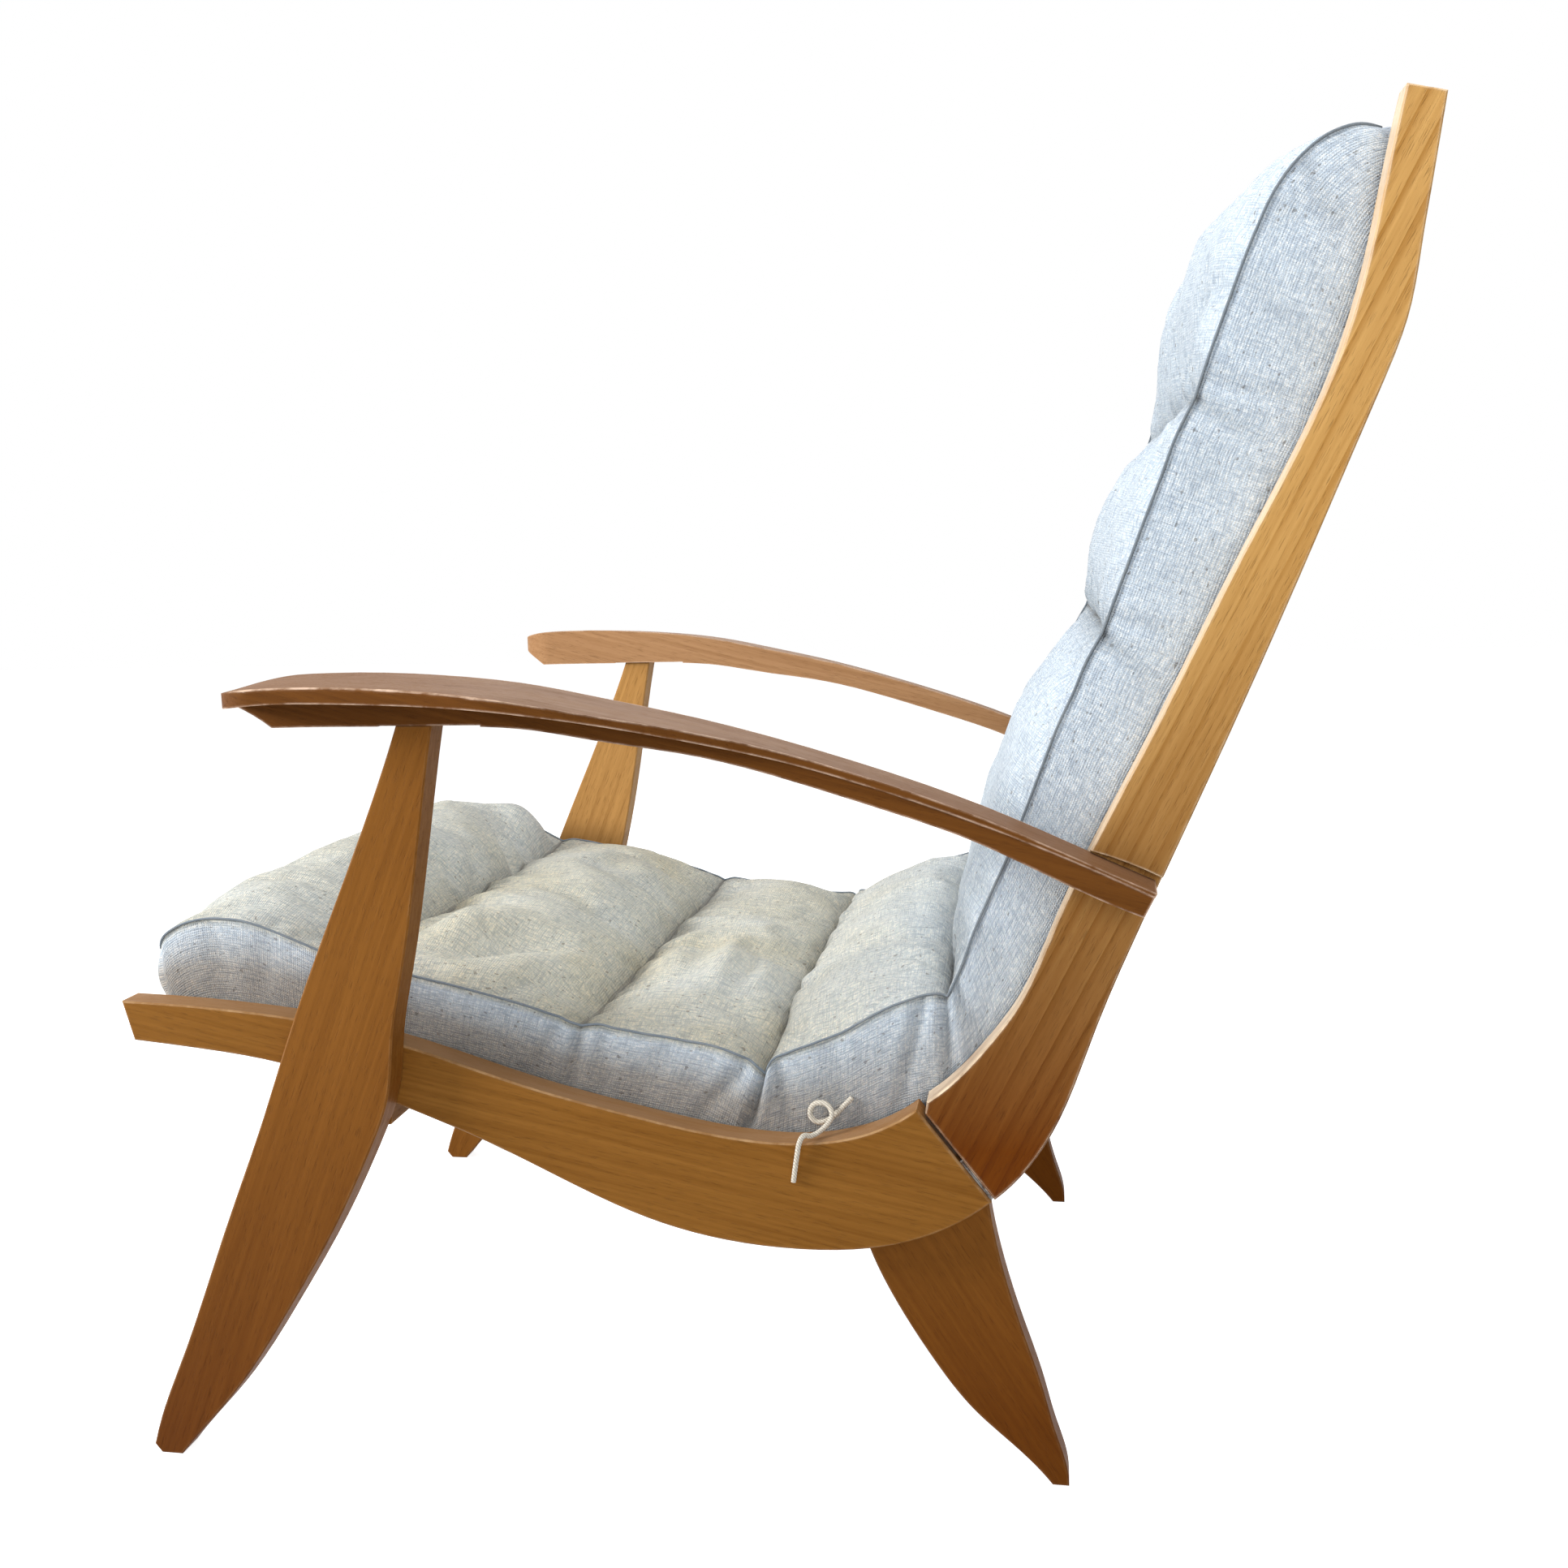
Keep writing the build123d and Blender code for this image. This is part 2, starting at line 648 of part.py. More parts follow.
def cushion_node(edge, value, axis):
    """A support point under a seam and the direction out of the wood there."""
    share = share_at(edge, value, axis)
    return sunk(edge, share, cushion_sink), inward(edge, share) * -1.0, share


def cushion_chain(edge, values, axis):
    return [cushion_node(edge, value, axis) for value in values]


seat_values = [share * rail_length for share in seat_node_shares]
back_values = [hinge_z + share * back_rise for share in back_node_shares]
seat_chain = cushion_chain(rail_edge, seat_values, "x")
back_chain = cushion_chain(post_edge, back_values, "z")
rail_end_foot = sunk(rail_edge, 1.0, cushion_sink)
post_start_foot = sunk(post_edge, 0.0, cushion_sink)
crease_low = (rail_end_foot + post_start_foot) * 0.5
crease_top = crease_low + Vector(crease_shares[0], 0, crease_shares[1]) * cushion_thickness
crease_side = Vector(crease_shares[1], 0, -crease_shares[0]).normalized() * crease_gap


def crown_top(start, end, rise):
    """The top of an arc between two seams, at a rise above the middle of their chord."""
    across = end - start
    up = Vector(-across.Z, 0, across.X).normalized()
    return (start + end) * 0.5 + up * rise


def at_y(vector, y):
    return Vector(vector.X, y, vector.Z)


def cushion_section(kind, y, draw, crown_scale):
    """One closed section of a cushion part: support arcs, an end, crowned channel arcs and the other end."""
    if kind == "seat":
        edge = rail_edge
        chain = seat_chain
        seam_shares = seat_seam_shares
        crown_shares = seat_crown_shares
    else:
        edge = post_edge
        chain = back_chain
        seam_shares = back_seam_shares
        crown_shares = back_crown_shares
    high = []
    for (place, up, _), seam in zip(chain, seam_shares):
        high.append(place + up * (cushion_thickness * seam - draw))
    shares = [share for _, _, share in chain]
    side = crease_side * (1.0 + draw / crease_gap)
    if kind == "seat":
        shares.append(1.0)
        lift = chain[-1][1] * draw
        high.append(crease_top - side - lift)
    else:
        shares.insert(0, 0.0)
        lift = chain[0][1] * draw
        high.insert(0, crease_top + side - lift)
    steps = []
    for first, second in zip(shares, shares[1:]):
        steps += [first + (second - first) * quarter / 4 for quarter in range(4)]
    steps.append(shares[-1])
    low = [sunk(edge, share, cushion_sink) - inward(edge, share) * draw for share in steps]
    if kind == "seat":
        low[-1] = crease_low - side + lift
    else:
        low[0] = crease_low + side + lift
    edges = []
    for start, middle, end in zip(low[0::2], low[1::2], low[2::2]):
        edges.append(ThreePointArc(at_y(start, y), at_y(middle, y), at_y(end, y)))
    if kind == "seat":
        edges.append(Line(at_y(low[-1], y), at_y(high[-1], y)))
    else:
        along = (low[-1] - low[-2]).normalized()
        middle = (low[-1] + high[-1]) * 0.5 + along * (cushion_thickness * top_round_share - draw)
        edges.append(ThreePointArc(at_y(low[-1], y), at_y(middle, y), at_y(high[-1], y)))
    for index in reversed(range(len(high) - 1)):
        rise = cushion_crown * crown_shares[index] * crown_scale
        middle = crown_top(high[index], high[index + 1], rise)
        edges.append(ThreePointArc(at_y(high[index + 1], y), at_y(middle, y), at_y(high[index], y)))
    if kind == "seat":
        along = (low[0] - low[1]).normalized()
        middle = (low[0] + high[0]) * 0.5 + along * (nose_reach - draw)
        edges.append(ThreePointArc(at_y(high[0], y), at_y(middle, y), at_y(low[0], y)))
    else:
        edges.append(Line(at_y(high[0], y), at_y(low[0], y)))
    return Wire(edges)


def cushion(kind):
    """A cushion part, lofted across the chair through drawn-in ends, full edges and the crowned middle."""
    half = rail_inner - cushion_side_gap
    edge_y = half - cushion_round
    stations = [(-half, cushion_side_draw, crown_scales[0])]
    for across, scale in zip(crown_place_shares, crown_scales[1:]):
        stations.append((-edge_y * across, 0.0, scale))
    stations += [(-y, draw, scale) for y, draw, scale in stations[::-1] if y < 0]
    return Solid.make_loft([cushion_section(kind, y, draw, scale) for y, draw, scale in stations], ruled=True)


# A cotton cord sewn to the side of the mattress, in one loose loop, with its tail over the rail
tie_diameter = 4.0
tie_corner_share = 0.45
tie_route = [
    (589.0, -276.3, 308.0), (581.0, -278.5, 300.0), (572.0, -280.5, 291.0), (562.0, -281.0, 288.0),
    (555.5, -280.5, 295.5), (560.0, -280.0, 304.5), (570.5, -281.5, 305.0), (576.0, -285.5, 297.0),
    (570.0, -289.5, 288.5), (560.5, -296.0, 283.0), (555.5, -303.0, 287.5), (552.5, -308.3, 283.5),
    (550.5, -307.0, 272.0), (548.5, -305.4, 261.0), (547.0, -305.0, 250.5),
]


def tie_cord():
    """The cord as a tube along straight runs joined by tangent arcs."""
    places = [Vector(*place) for place in tie_route]
    radii = []
    for before, here, after in zip(places, places[1:], places[2:]):
        turn = math.radians((here - before).get_angle(after - here))
        shorter = min((here - before).length, (after - here).length)
        radii.append(tie_corner_share * shorter / math.tan(turn / 2))
    path = FilletPolyline(*places, radius=radii)
    section = Plane(origin=places[0], z_dir=places[1] - places[0]) * Circle(tie_diameter / 2)
    tube = sweep(section, path=path)
    print("tie cord radii", [round(radius, 1) for radius in radii])
    ideal = math.pi * (tie_diameter / 2) ** 2 * path.length
    print("tie cord volume", round(tube.volume, 1), "and section times length", round(ideal, 1))
    return tube


def write(node, shape):
    """Centres a piece on the chair's length and writes it as one named node."""
    placed = Location(Vector(-chair_length / 2, 0, 0)) * shape
    export_step(placed, f"parts/{node}.step")


def write_pair(node, shape):
    """Writes a piece on the sitter's right and its mirror image on the left."""
    write(f"{node}_right", shape)
    write(f"{node}_left", other_side(shape))


def solids(shapes):
    """Several like pieces together in one node."""
    return Compound(children=[solid for shape in shapes for solid in shape.solids()])


write_pair("seat_rail", seat_rail())
write_pair("back_post", back_post())
write_pair("front_leg", front_leg())
write_pair("rear_leg", rear_leg())
write_pair("arm", arm())
write("seat_front_cross_rail", front_cross_rail())
write("seat_rear_cross_rail", rear_cross_rail())
write("back_lower_cross_rail", lower_cross_rail())
write("back_top_cross_rail", top_cross_rail())
for name, edge, shares in (("seat", rail_edge, seat_spring_shares), ("back", post_edge, back_spring_shares)):
    hooks = [wire_hook(edge, share) for share in shares]
    write(f"{name}_springs", solids([sleeve(edge, share) for share in shares]))
    write(f"{name}_spring_hooks", solids(hooks + [other_side(hook) for hook in hooks]))
write_pair("hinge_leaf_seat", hinge_leaf(-1, (0, 2)))
write_pair("hinge_leaf_back", hinge_leaf(1, (1,)))
pin_low = hinge_middle - hinge_width / 2
pin = cylinder_across(pin_radius, pin_low, pin_low + hinge_width)
write("hinge_pins", solids([pin, other_side(pin)]))
screw = guide_screw()
write("arm_guide_screws", solids([screw, other_side(screw)]))
laps = [lap_dowel(place, rail_outer, 0.0) for place in leg_dowel_places()]
laps += [lap_dowel(place, rail_inner, 0.0) for place in rear_leg_dowel_places()]
laps.append(arm_dowel(0.0))
write("frame_dowels", solids(laps + [other_side(lap) for lap in laps]))
write("cushion_seat", cushion("seat"))
write("cushion_back", cushion("back"))
write("cushion_tie_cord", tie_cord())
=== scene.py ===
import math

import bpy
import numpy as np
from mathutils import Matrix, Vector, noise


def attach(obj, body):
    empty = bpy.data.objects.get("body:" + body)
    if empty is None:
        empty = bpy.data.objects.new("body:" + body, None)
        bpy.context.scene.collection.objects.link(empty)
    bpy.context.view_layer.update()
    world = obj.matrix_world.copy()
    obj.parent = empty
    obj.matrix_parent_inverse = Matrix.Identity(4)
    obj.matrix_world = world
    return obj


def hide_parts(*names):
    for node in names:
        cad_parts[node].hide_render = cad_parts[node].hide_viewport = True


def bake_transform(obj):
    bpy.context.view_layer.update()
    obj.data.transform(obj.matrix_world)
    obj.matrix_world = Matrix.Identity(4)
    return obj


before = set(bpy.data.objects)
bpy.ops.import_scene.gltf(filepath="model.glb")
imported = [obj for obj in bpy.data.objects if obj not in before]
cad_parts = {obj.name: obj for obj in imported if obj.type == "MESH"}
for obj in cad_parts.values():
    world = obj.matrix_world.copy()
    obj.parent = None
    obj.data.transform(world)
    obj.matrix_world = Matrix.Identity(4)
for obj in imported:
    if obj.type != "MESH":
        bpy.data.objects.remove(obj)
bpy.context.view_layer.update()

# The studio: a plain pale floor, a white surround and four large soft lamps, in front, above, on the near
# side and on the far side. The camera stands to the sitter's left, above the arms and a little to the rear.


def placed(name, data):
    """A new object in the scene."""
    made = bpy.data.objects.new(name, data)
    bpy.context.scene.collection.objects.link(made)
    return made


camera_place = (0.2465, -1.3944, 0.7206)
camera_right = Vector((0.98504, 0.17036, -0.02597))
camera_up = Vector((0.0, 0.15068, 0.98858))
camera_ahead = Vector((-0.17233, 0.97380, -0.14843))
camera_data = bpy.data.cameras.new("studio_camera")
camera_data.lens = 35.363
camera_data.sensor_width = 36.0
camera_data.clip_start = 0.05
camera = placed("studio_camera", camera_data)
camera_turn = Matrix((camera_right, camera_up, -camera_ahead)).transposed()
camera.matrix_world = Matrix.Translation(camera_place) @ camera_turn.to_4x4()
bpy.context.scene.camera = camera

lamp_target = Vector((0.05, 0.0, 0.5))
lamps = [
    ("key_lamp", (-2.5, -1.1, 1.45), 0.9, 78.0, (1.0, 0.99, 0.97)),
    ("top_lamp", (0.3, -0.5, 2.7), 1.2, 30.0, (0.98, 0.99, 1.0)),
    ("side_lamp", (0.9, -2.6, 1.5), 1.4, 24.0, (0.97, 0.985, 1.0)),
    ("back_lamp", (-0.4, 2.5, 1.9), 1.8, 16.0, (1.0, 0.98, 0.95)),
]
for lamp_name, lamp_place, lamp_size, lamp_power, lamp_colour in lamps:
    lamp_data = bpy.data.lights.new(lamp_name, "AREA")
    lamp_data.size = lamp_size
    lamp_data.energy = lamp_power
    lamp_data.color = lamp_colour
    lamp = placed(lamp_name, lamp_data)
    lamp.location = lamp_place
    lamp.rotation_mode = "QUATERNION"
    lamp.rotation_quaternion = (lamp_target - Vector(lamp_place)).to_track_quat("-Z", "Y")


def calculate(made, operation, first, second=None, clamp=False):
    """A math node. Its inputs are sockets or numbers."""
    node = made.nodes.new("ShaderNodeMath")
    node.operation = operation
    node.use_clamp = clamp
    for slot, value in enumerate((first, second)):
        if value is None:
            continue
        if isinstance(value, (int, float)):
            node.inputs[slot].default_value = value
        else:
            made.links.new(value, node.inputs[slot])
    return node.outputs[0]


def white_to_camera(made):
    """One where a camera, glossy or transmission ray sees the background, else zero."""
    rays = made.nodes.new("ShaderNodeLightPath").outputs
    seen = calculate(made, "MAXIMUM", rays["Is Camera Ray"], rays["Is Glossy Ray"])
    return calculate(made, "MAXIMUM", seen, rays["Is Transmission Ray"])


world = bpy.data.worlds.new("studio_world")
bpy.context.scene.world = world
world.use_nodes = True
tree = world.node_tree
tree.nodes.clear()
out = tree.nodes.new("ShaderNodeOutputWorld")
world_fill = 0.25
fill = tree.nodes.new("ShaderNodeBackground")
fill.inputs["Color"].default_value = (0.93, 0.96, 1.0, 1)
fill.inputs["Strength"].default_value = world_fill
white = tree.nodes.new("ShaderNodeBackground")
white.inputs["Color"].default_value = (1, 1, 1, 1)
mix = tree.nodes.new("ShaderNodeMixShader")
tree.links.new(white_to_camera(tree), mix.inputs[0])
tree.links.new(fill.outputs[0], mix.inputs[1])
tree.links.new(white.outputs[0], mix.inputs[2])
tree.links.new(mix.outputs[0], out.inputs["Surface"])

floor_mesh = bpy.data.meshes.new("studio_floor")
floor_half = 9.0
floor_grey = 0.70
floor_glow = 0.87
floor_corners = [(x * floor_half, y * floor_half, 0) for x, y in ((-1, -1), (1, -1), (1, 1), (-1, 1))]
floor_mesh.from_pydata(floor_corners, [], [(0, 1, 2, 3)])
floor = placed("studio_floor", floor_mesh)
floor_material = bpy.data.materials.new("pale_floor")
floor_material.use_nodes = True
tree = floor_material.node_tree
tree.nodes.clear()
out = tree.nodes.new("ShaderNodeOutputMaterial")
matt = tree.nodes.new("ShaderNodeBsdfDiffuse")
matt.inputs["Color"].default_value = (floor_grey, floor_grey, floor_grey, 1)
glow = tree.nodes.new("ShaderNodeEmission")
glow_strength = calculate(tree, "MULTIPLY", white_to_camera(tree), floor_glow)
tree.links.new(glow_strength, glow.inputs["Strength"])
both = tree.nodes.new("ShaderNodeAddShader")
tree.links.new(matt.outputs[0], both.inputs[0])
tree.links.new(glow.outputs[0], both.inputs[1])
tree.links.new(both.outputs[0], out.inputs["Surface"])
floor_mesh.materials.append(floor_material)

# The tie cord: twisted undyed cotton, stitched to the side of the mattress and knotted in one loose loop
# just above the rail, with its cut tail hanging over the rail's outer face.
mm = 0.001
half_length = 494.0
tie_route = [
    (589.0, -276.3, 308.0), (581.0, -278.5, 300.0), (572.0, -280.5, 291.0), (562.0, -281.0, 288.0),
    (555.5, -280.5, 295.5), (560.0, -280.0, 304.5), (570.5, -281.5, 305.0), (576.0, -285.5, 297.0),
    (570.0, -289.5, 288.5), (560.5, -296.0, 283.0), (555.5, -303.0, 287.5), (552.5, -308.3, 283.5),
    (550.5, -307.0, 272.0), (548.5, -305.4, 261.0), (547.0, -305.0, 250.5),
]
tie_radius = 2.0


def centred(x, y, z):
    """A point in metres about the chair's middle, from millimetres behind the rails' front ends."""
    return Vector(((x - half_length) * mm, y * mm, z * mm))


tie_curve = bpy.data.curves.new("tie_cord", "CURVE")
tie_curve.dimensions = "3D"
tie_curve.bevel_depth = tie_radius * mm
tie_curve.bevel_resolution = 4
tie_curve.resolution_u = 8
tie_curve.use_fill_caps = True
tie_line = tie_curve.splines.new("NURBS")
tie_line.points.add(len(tie_route) - 1)
for point, place in zip(tie_line.points, tie_route):
    point.co = (*centred(*place), 1.0)
tie_line.order_u = 3
tie_line.use_endpoint_u = True
tie_cord = placed("tie_cord", tie_curve)


def new_material(name):
    """A material with one Principled shader. Gives the material, its tree and the shader."""
    material = bpy.data.materials.new(name)
    material.use_nodes = True
    made = material.node_tree
    made.nodes.clear()
    output = made.nodes.new("ShaderNodeOutputMaterial")
    shader = made.nodes.new("ShaderNodeBsdfPrincipled")
    made.links.new(shader.outputs[0], output.inputs["Surface"])
    return material, made, shader


def new_group(name, sockets_in, sockets_out):
    """An empty shader node group with named sockets."""
    group = bpy.data.node_groups.new(name, "ShaderNodeTree")
    for socket_name, kind, value in sockets_in:
        socket = group.interface.new_socket(name=socket_name, in_out="INPUT", socket_type=kind)
        if value is not None:
            socket.default_value = value
    for socket_name, kind in sockets_out:
        group.interface.new_socket(name=socket_name, in_out="OUTPUT", socket_type=kind)
    return group, group.nodes.new("NodeGroupInput"), group.nodes.new("NodeGroupOutput")


def blended(made, factor, first, second, kind="MIX"):
    """A colour mix node. Colours are sockets or tuples, and the factor is a socket or a number."""
    node = made.nodes.new("ShaderNodeMix")
    node.data_type = "RGBA"
    node.blend_type = kind
    for socket, value in ((node.inputs[0], factor), (node.inputs[6], first), (node.inputs[7], second)):
        if isinstance(value, (int, float, tuple)):
            socket.default_value = value
        else:
            made.links.new(value, socket)
    return node.outputs[2]


def spread(made, value, low, high, to_low=0.0, to_high=1.0):
    """Maps a value's range onto another, held at its ends."""
    node = made.nodes.new("ShaderNodeMapRange")
    made.links.new(value, node.inputs["Value"])
    node.inputs["From Min"].default_value = low
    node.inputs["From Max"].default_value = high
    node.inputs["To Min"].default_value = to_low
    node.inputs["To Max"].default_value = to_high
    return node.outputs["Result"]


def stretched(made, vector, scale):
    """A vector scaled along each axis."""
    node = made.nodes.new("ShaderNodeVectorMath")
    node.operation = "MULTIPLY"
    made.links.new(vector, node.inputs[0])
    node.inputs[1].default_value = scale
    return node.outputs[0]


def mottled(made, vector, scale, detail=2.0, rough=0.5):
    """A noise texture's value."""
    node = made.nodes.new("ShaderNodeTexNoise")
    made.links.new(vector, node.inputs["Vector"])
    node.inputs["Scale"].default_value = scale
    node.inputs["Detail"].default_value = detail
    node.inputs["Roughness"].default_value = rough
    return node.outputs["Fac"]


def banded(made, vector, direction, scale, distortion, detail=2.0):
    """A wave texture's value, in bands that follow each other in a direction."""
    node = made.nodes.new("ShaderNodeTexWave")
    node.bands_direction = direction
    node.inputs["Scale"].default_value = scale
    node.inputs["Distortion"].default_value = distortion
    node.inputs["Detail"].default_value = detail
    made.links.new(vector, node.inputs["Vector"])
    return node.outputs["Fac"]


def bumped(made, height, distance, strength=1.0):
    """The normal of a bump from a height."""
    node = made.nodes.new("ShaderNodeBump")
    made.links.new(height, node.inputs["Height"])
    node.inputs["Distance"].default_value = distance
    node.inputs["Strength"].default_value = strength
    return node.outputs["Normal"]


def object_place(made):
    """Each point's place on its own piece."""
    return made.nodes.new("ShaderNodeTexCoord").outputs["Object"]


def finish(made, shader, colour, roughness, normal):
    """Links a shader's colour, roughness and normal."""
    made.links.new(colour, shader.inputs["Base Color"])
    made.links.new(roughness, shader.inputs["Roughness"])
    made.links.new(normal, shader.inputs["Normal"])


cotton_hollow_shade = (0.56, 0.48, 0.37, 1)
cotton_ply = (0.86, 0.80, 0.69, 1)
cotton_lint = (0.93, 0.90, 0.83, 1)
cotton, tree, shader = new_material("twisted_cotton")
where = object_place(tree)
strand = banded(tree, where, "DIAGONAL", 220.0, 1.2, 1.0)
lint = mottled(tree, where, 900.0, 2.0)
ply = spread(tree, strand, 0.1, 0.9)
# The twist's hollows get the darker colour, as painted shade between the plies.
colour = blended(tree, ply, cotton_hollow_shade, cotton_ply)
colour = blended(tree, calculate(tree, "MULTIPLY", lint, 0.35), colour, cotton_lint)
finish(tree, shader, colour, spread(tree, lint, 0.0, 1.0, 0.80, 0.95), bumped(tree, ply, 0.0006))
tie_curve.materials.append(cotton)
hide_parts("cushion_tie_cord")
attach(tie_cord, "seat_frame")

# Seat rails and cross rails: honey-brown planks sawn to shape, oiled, with the grain along their length. The
# top faces are rubbed dull and the long arrises have worn pale in an uneven line, a pale line that is also a
# painted highlight along them.
grain_group, group_in, group_out = new_group(
    "plank_grain",
    [("Vector", "NodeSocketVector", None), ("Pale", "NodeSocketColor", (0.5, 0.3, 0.1, 1)),
     ("Deep", "NodeSocketColor", (0.3, 0.15, 0.05, 1)), ("Pore", "NodeSocketColor", (0.1, 0.04, 0.01, 1)),
     ("Figure", "NodeSocketFloat", 0.4)],
    [("Color", "NodeSocketColor"), ("Roughness", "NodeSocketFloat"), ("Height", "NodeSocketFloat")])
along = group_in.outputs["Vector"]

# Along the grain: broad shades, streaks, pores, patches where the rings fade, and the rings
broad = mottled(grain_group, stretched(grain_group, along, (2.2, 16.0, 16.0)), 1.0, 3.0, 0.55)
streaks = mottled(grain_group, stretched(grain_group, along, (7.0, 300.0, 300.0)), 1.0, 3.0, 0.6)
dashes = mottled(grain_group, stretched(grain_group, along, (80.0, 1300.0, 1300.0)), 1.0, 1.0, 0.5)
patches = mottled(grain_group, stretched(grain_group, along, (4.0, 8.0, 8.0)), 1.0, 2.0, 0.5)
rings = banded(grain_group, stretched(grain_group, along, (0.10, 0.5, 1.5)), "Z", 14.0, 5.0)
rings.node.wave_profile = "SAW"
rings.node.inputs["Detail Scale"].default_value = 0.55
rings.node.inputs["Detail Roughness"].default_value = 0.5
late_wood = spread(grain_group, rings, 0.66, 0.98)
faded = spread(grain_group, patches, 0.35, 0.65, 0.35, 1.0)
late_wood = calculate(grain_group, "MULTIPLY", calculate(grain_group, "MULTIPLY", late_wood, faded),
                      group_in.outputs["Figure"])
pores = spread(grain_group, dashes, 0.60, 0.72)
fine = calculate(grain_group, "ADD", calculate(grain_group, "MULTIPLY", streaks, 0.62),
                 calculate(grain_group, "MULTIPLY", broad, 0.58))
shade = spread(grain_group, fine, 0.30, 0.92)
colour = blended(grain_group, shade, group_in.outputs["Pale"], group_in.outputs["Deep"])
colour = blended(grain_group, late_wood, colour, group_in.outputs["Deep"])
pore_share = calculate(grain_group, "MULTIPLY", pores, 0.28)
colour = blended(grain_group, pore_share, colour, group_in.outputs["Pore"])
grain_group.links.new(colour, group_out.inputs["Color"])
rough = calculate(grain_group, "ADD", spread(grain_group, streaks, 0.2, 0.8, 0.46, 0.60),
                  calculate(grain_group, "MULTIPLY", pores, 0.15))
grain_group.links.new(rough, group_out.inputs["Roughness"])
height = calculate(grain_group, "SUBTRACT", calculate(grain_group, "MULTIPLY", streaks, 0.5), pores)
grain_group.links.new(height, group_out.inputs["Height"])

# Worn arrises, which are also painted highlights: where a rounded normal leaves the face's own, and on
# chamfers that slope up and sideways
arris_wear_and_highlight_group, group_in, group_out = new_group(
    "arris_wear_and_highlight",
    [("Color", "NodeSocketColor", (0.5, 0.3, 0.1, 1)), ("Wear and highlight", "NodeSocketColor", (0.7, 0.5, 0.3, 1)),
     ("Vector", "NodeSocketVector", None), ("Amount", "NodeSocketFloat", 0.7)],
    [("Color", "NodeSocketColor")])
rounded = arris_wear_and_highlight_group.nodes.new("ShaderNodeBevel")
rounded.samples = 6
rounded.inputs["Radius"].default_value = 0.003
facing = arris_wear_and_highlight_group.nodes.new("ShaderNodeNewGeometry")
likeness = arris_wear_and_highlight_group.nodes.new("ShaderNodeVectorMath")
likeness.operation = "DOT_PRODUCT"
arris_wear_and_highlight_group.links.new(rounded.outputs["Normal"], likeness.inputs[0])
arris_wear_and_highlight_group.links.new(facing.outputs["Normal"], likeness.inputs[1])
edge = spread(arris_wear_and_highlight_group, likeness.outputs["Value"], 0.99, 0.84)
own_normal = arris_wear_and_highlight_group.nodes.new("ShaderNodeTexCoord")
sides = arris_wear_and_highlight_group.nodes.new("ShaderNodeSeparateXYZ")
arris_wear_and_highlight_group.links.new(own_normal.outputs["Normal"], sides.inputs[0])
aslant = calculate(arris_wear_and_highlight_group, "ABSOLUTE", sides.outputs["Y"])
chamfered = calculate(arris_wear_and_highlight_group, "MULTIPLY", spread(arris_wear_and_highlight_group, aslant, 0.22, 0.42),
                      spread(arris_wear_and_highlight_group, aslant, 0.97, 0.88))
upward = spread(arris_wear_and_highlight_group, sides.outputs["Z"], 0.20, 0.50)
chamfered = calculate(arris_wear_and_highlight_group, "MULTIPLY", chamfered, upward)
edge = calculate(arris_wear_and_highlight_group, "MAXIMUM", edge, chamfered)
broken = mottled(arris_wear_and_highlight_group, group_in.outputs["Vector"], 45.0, 4.0, 0.65)
edge = calculate(arris_wear_and_highlight_group, "MULTIPLY", edge, spread(arris_wear_and_highlight_group, broken, 0.38, 0.60, 0.15, 1.0))
edge = calculate(arris_wear_and_highlight_group, "MULTIPLY", edge, group_in.outputs["Amount"], clamp=True)
colour = blended(arris_wear_and_highlight_group, edge, group_in.outputs["Color"], group_in.outputs["Wear and highlight"])
arris_wear_and_highlight_group.links.new(colour, group_out.inputs["Color"])

# Rubbed faces: those that look in a direction, in smears along the grain
rub_group, group_in, group_out = new_group(
    "rubbed_face",
    [("Color", "NodeSocketColor", (0.5, 0.3, 0.1, 1)), ("Rubbed", "NodeSocketColor", (0.7, 0.5, 0.3, 1)),
     ("Direction", "NodeSocketVector", None), ("Vector", "NodeSocketVector", None),
     ("Amount", "NodeSocketFloat", 0.7)],
    [("Color", "NodeSocketColor")])
own_normal = rub_group.nodes.new("ShaderNodeTexCoord")
toward = rub_group.nodes.new("ShaderNodeVectorMath")
toward.operation = "DOT_PRODUCT"
rub_group.links.new(own_normal.outputs["Normal"], toward.inputs[0])
rub_group.links.new(group_in.outputs["Direction"], toward.inputs[1])
rubbed = spread(rub_group, toward.outputs["Value"], 0.55, 0.85)
smears = stretched(rub_group, group_in.outputs["Vector"], (9.0, 60.0, 60.0))
uneven = mottled(rub_group, smears, 1.0, 3.0, 0.6)
rubbed = calculate(rub_group, "MULTIPLY", rubbed, spread(rub_group, uneven, 0.3, 0.6, 0.55, 1.0))
rubbed = calculate(rub_group, "MULTIPLY", rubbed, group_in.outputs["Amount"], clamp=True)
colour = blended(rub_group, rubbed, group_in.outputs["Color"], group_in.outputs["Rubbed"])
rub_group.links.new(colour, group_out.inputs["Color"])


def placed_group(made, group, values, links):
    """A node group in a material, with its values and linked sockets."""
    node = made.nodes.new("ShaderNodeGroup")
    node.node_tree = group
    for socket_name, value in values.items():
        node.inputs[socket_name].default_value = value
    for socket_name, source in links.items():
        made.links.new(source, node.inputs[socket_name])
    return node


